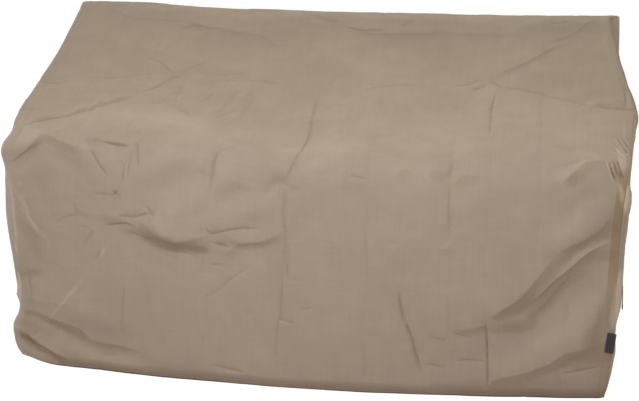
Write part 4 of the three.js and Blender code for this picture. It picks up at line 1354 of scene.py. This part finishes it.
def woven_material(name, colour, roughness, pitch, depth, directions="XY", border=None):
    """A close weave of dark yarn. A border is half the width and half the height of the line woven
    round it."""
    material, graph, surface = new_material(name, colour, roughness)
    place = graph.flat_place()
    threads = [graph.threads(place, direction, pitch) for direction in directions]
    height = threads[0] if len(threads) == 1 else graph.math("MULTIPLY", *threads)
    fuzz = graph.noise(place, YARN_SCALE, 3)
    light = graph.math("ADD", graph.ramp(height, 0, 1, 0.72, 1.1), graph.ramp(fuzz, *FUZZ, -0.12, 0.12))
    if border:
        flat = graph.add("ShaderNodeSeparateXYZ", None, Vector=place).outputs[:2]
        off = [graph.math("SUBTRACT", graph.math("ABSOLUTE", part), half * MM)
               for part, half in zip(flat, border)]
        line = graph.math("ABSOLUTE", graph.math("MAXIMUM", *off))
        light = graph.math("ADD", light, graph.ramp(line, 0.5 * MM, 0.3 * MM, 0, 1.1))
    graph.join(graph.tint(colour, graph.grey(light)), surface["Base Color"])
    graph.join(graph.ramp(fuzz, *FUZZ, roughness - 0.08, roughness + 0.08), surface["Roughness"])
    graph.join(graph.bump(graph.math("MULTIPLY", height, depth)), surface["Normal"])
    return material


def thread_material():
    """Taupe sewing thread, twisted, a little darker than the cloth."""
    material, graph, surface = new_material("sewing_thread", THREAD_COLOUR, 0.55)
    fuzz = graph.noise(graph.add("ShaderNodeTexCoord").outputs["Object"], THREAD_SCALE, 2)
    light = graph.ramp(fuzz, *FUZZ, 0.82, 1.15)
    graph.join(graph.tint(THREAD_COLOUR, graph.grey(light)), surface["Base Color"])
    graph.join(graph.ramp(fuzz, *FUZZ, 0.48, 0.62), surface["Roughness"])
    return material


def mixed_for_camera(graph, others, camera, share=1.0):
    """What the camera sees, as far as the share says, and what everything else sees."""
    seen = graph.add("ShaderNodeLightPath").outputs["Is Camera Ray"]
    seen = graph.math("MULTIPLY", seen, share)
    return graph.add("ShaderNodeMixShader", None, i0=seen, i1=others, i2=camera).outputs[0]


def paper_material():
    """White paper that looks white to the camera and still shows a soft shadow."""
    material, graph = new_material("paper", PAPER_COLOUR, PAPER_ROUGHNESS)[:2]
    glow = graph.add("ShaderNodeEmission", None, Strength=PAPER_GLOW).outputs[0]
    lit = material.node_tree.nodes["Principled BSDF"].outputs[0]
    output = material.node_tree.nodes["Material Output"]
    graph.join(mixed_for_camera(graph, lit, glow, PAPER_SHARE), output.inputs["Surface"])
    return material


cloth_material = cover_material()
tag_material = woven_material("tag_weave", TAG_COLOUR, 0.5, 0.6 * MM, 0.08 * MM, border=TAG_BORDER)
webbing_material = woven_material("webbing_weave", WEBBING_COLOUR, 0.65, 1.1 * MM, 0.12 * MM, "Y")

# ---------------------------------------------------------------- the pieces
rims = rim_places()
pieces = [
    (main_panel(rims), "main_panel"),
    (side_panel("side_panel_left_cloth", LEFT, *rims[0]), "side_panel_left"),
    (side_panel("side_panel_right_cloth", RIGHT, *rims[1]), "side_panel_right"),
]
for piece, node in pieces:
    piece.data.materials.append(cloth_material)
    add_thickness(piece)
    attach(piece, "root")
    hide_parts(node)
seam_lines = seam_rows() + side_rows(pieces[1][0], -1) + side_rows(pieces[2][0], 1)
seams = stitches(seam_lines, thread_material())
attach(seams, "root")
small_pieces = [
    (seam_tag(), "seam_tag", "tag_cloth", tag_material),
    (webbing_tab(pieces[2][0]), "webbing_tab", "webbing", webbing_material),
]
for piece, node, slot, material in small_pieces:
    piece.data.materials.append(material)
    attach(piece, "root")
    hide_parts(node)

# ---------------------------------------------------------------- floor, light and camera
floor_mesh = bpy.data.meshes.new("floor")
floor_mesh.from_pydata(FLOOR, [], [(0, 1, 2, 3)])
floor = in_scene("floor", floor_mesh)
floor.data.materials.append(paper_material())

world = bpy.data.worlds.new("studio")
bpy.context.scene.world = world
world.use_nodes = True
world.node_tree.nodes.clear()
studio = Graph(world.node_tree)
room, backdrop = (studio.add("ShaderNodeBackground", None, Color=(1, 1, 1, 1), Strength=strength).outputs[0]
                  for strength in (ROOM_LIGHT, 1))
studio.add("ShaderNodeOutputWorld", None, Surface=mixed_for_camera(studio, room, backdrop))

for name, (place, target, size, power, colour) in LAMPS.items():
    lamp = bpy.data.lights.new(name, "AREA")
    lamp.shape = "RECTANGLE"
    lamp.size, lamp.size_y = size
    lamp.energy = power
    lamp.color = colour
    holder = in_scene(name, lamp)
    holder.location = place
    holder.rotation_euler = (Vector(target) - Vector(place)).to_track_quat("-Z", "Y").to_euler()

camera_data = bpy.data.cameras.new("camera")
camera_data.sensor_width = SENSOR_WIDTH
camera_data.lens = LENS
camera = in_scene("camera", camera_data)
camera.location = (
    TARGET[0] + DISTANCE * math.cos(ELEVATION) * math.sin(AZIMUTH),
    TARGET[1] - DISTANCE * math.cos(ELEVATION) * math.cos(AZIMUTH),
    TARGET[2] + DISTANCE * math.sin(ELEVATION),
)
camera.rotation_euler = (math.pi / 2 - ELEVATION, 0, AZIMUTH)
bpy.context.scene.camera = camera
bpy.context.scene.view_settings.view_transform = "Standard"
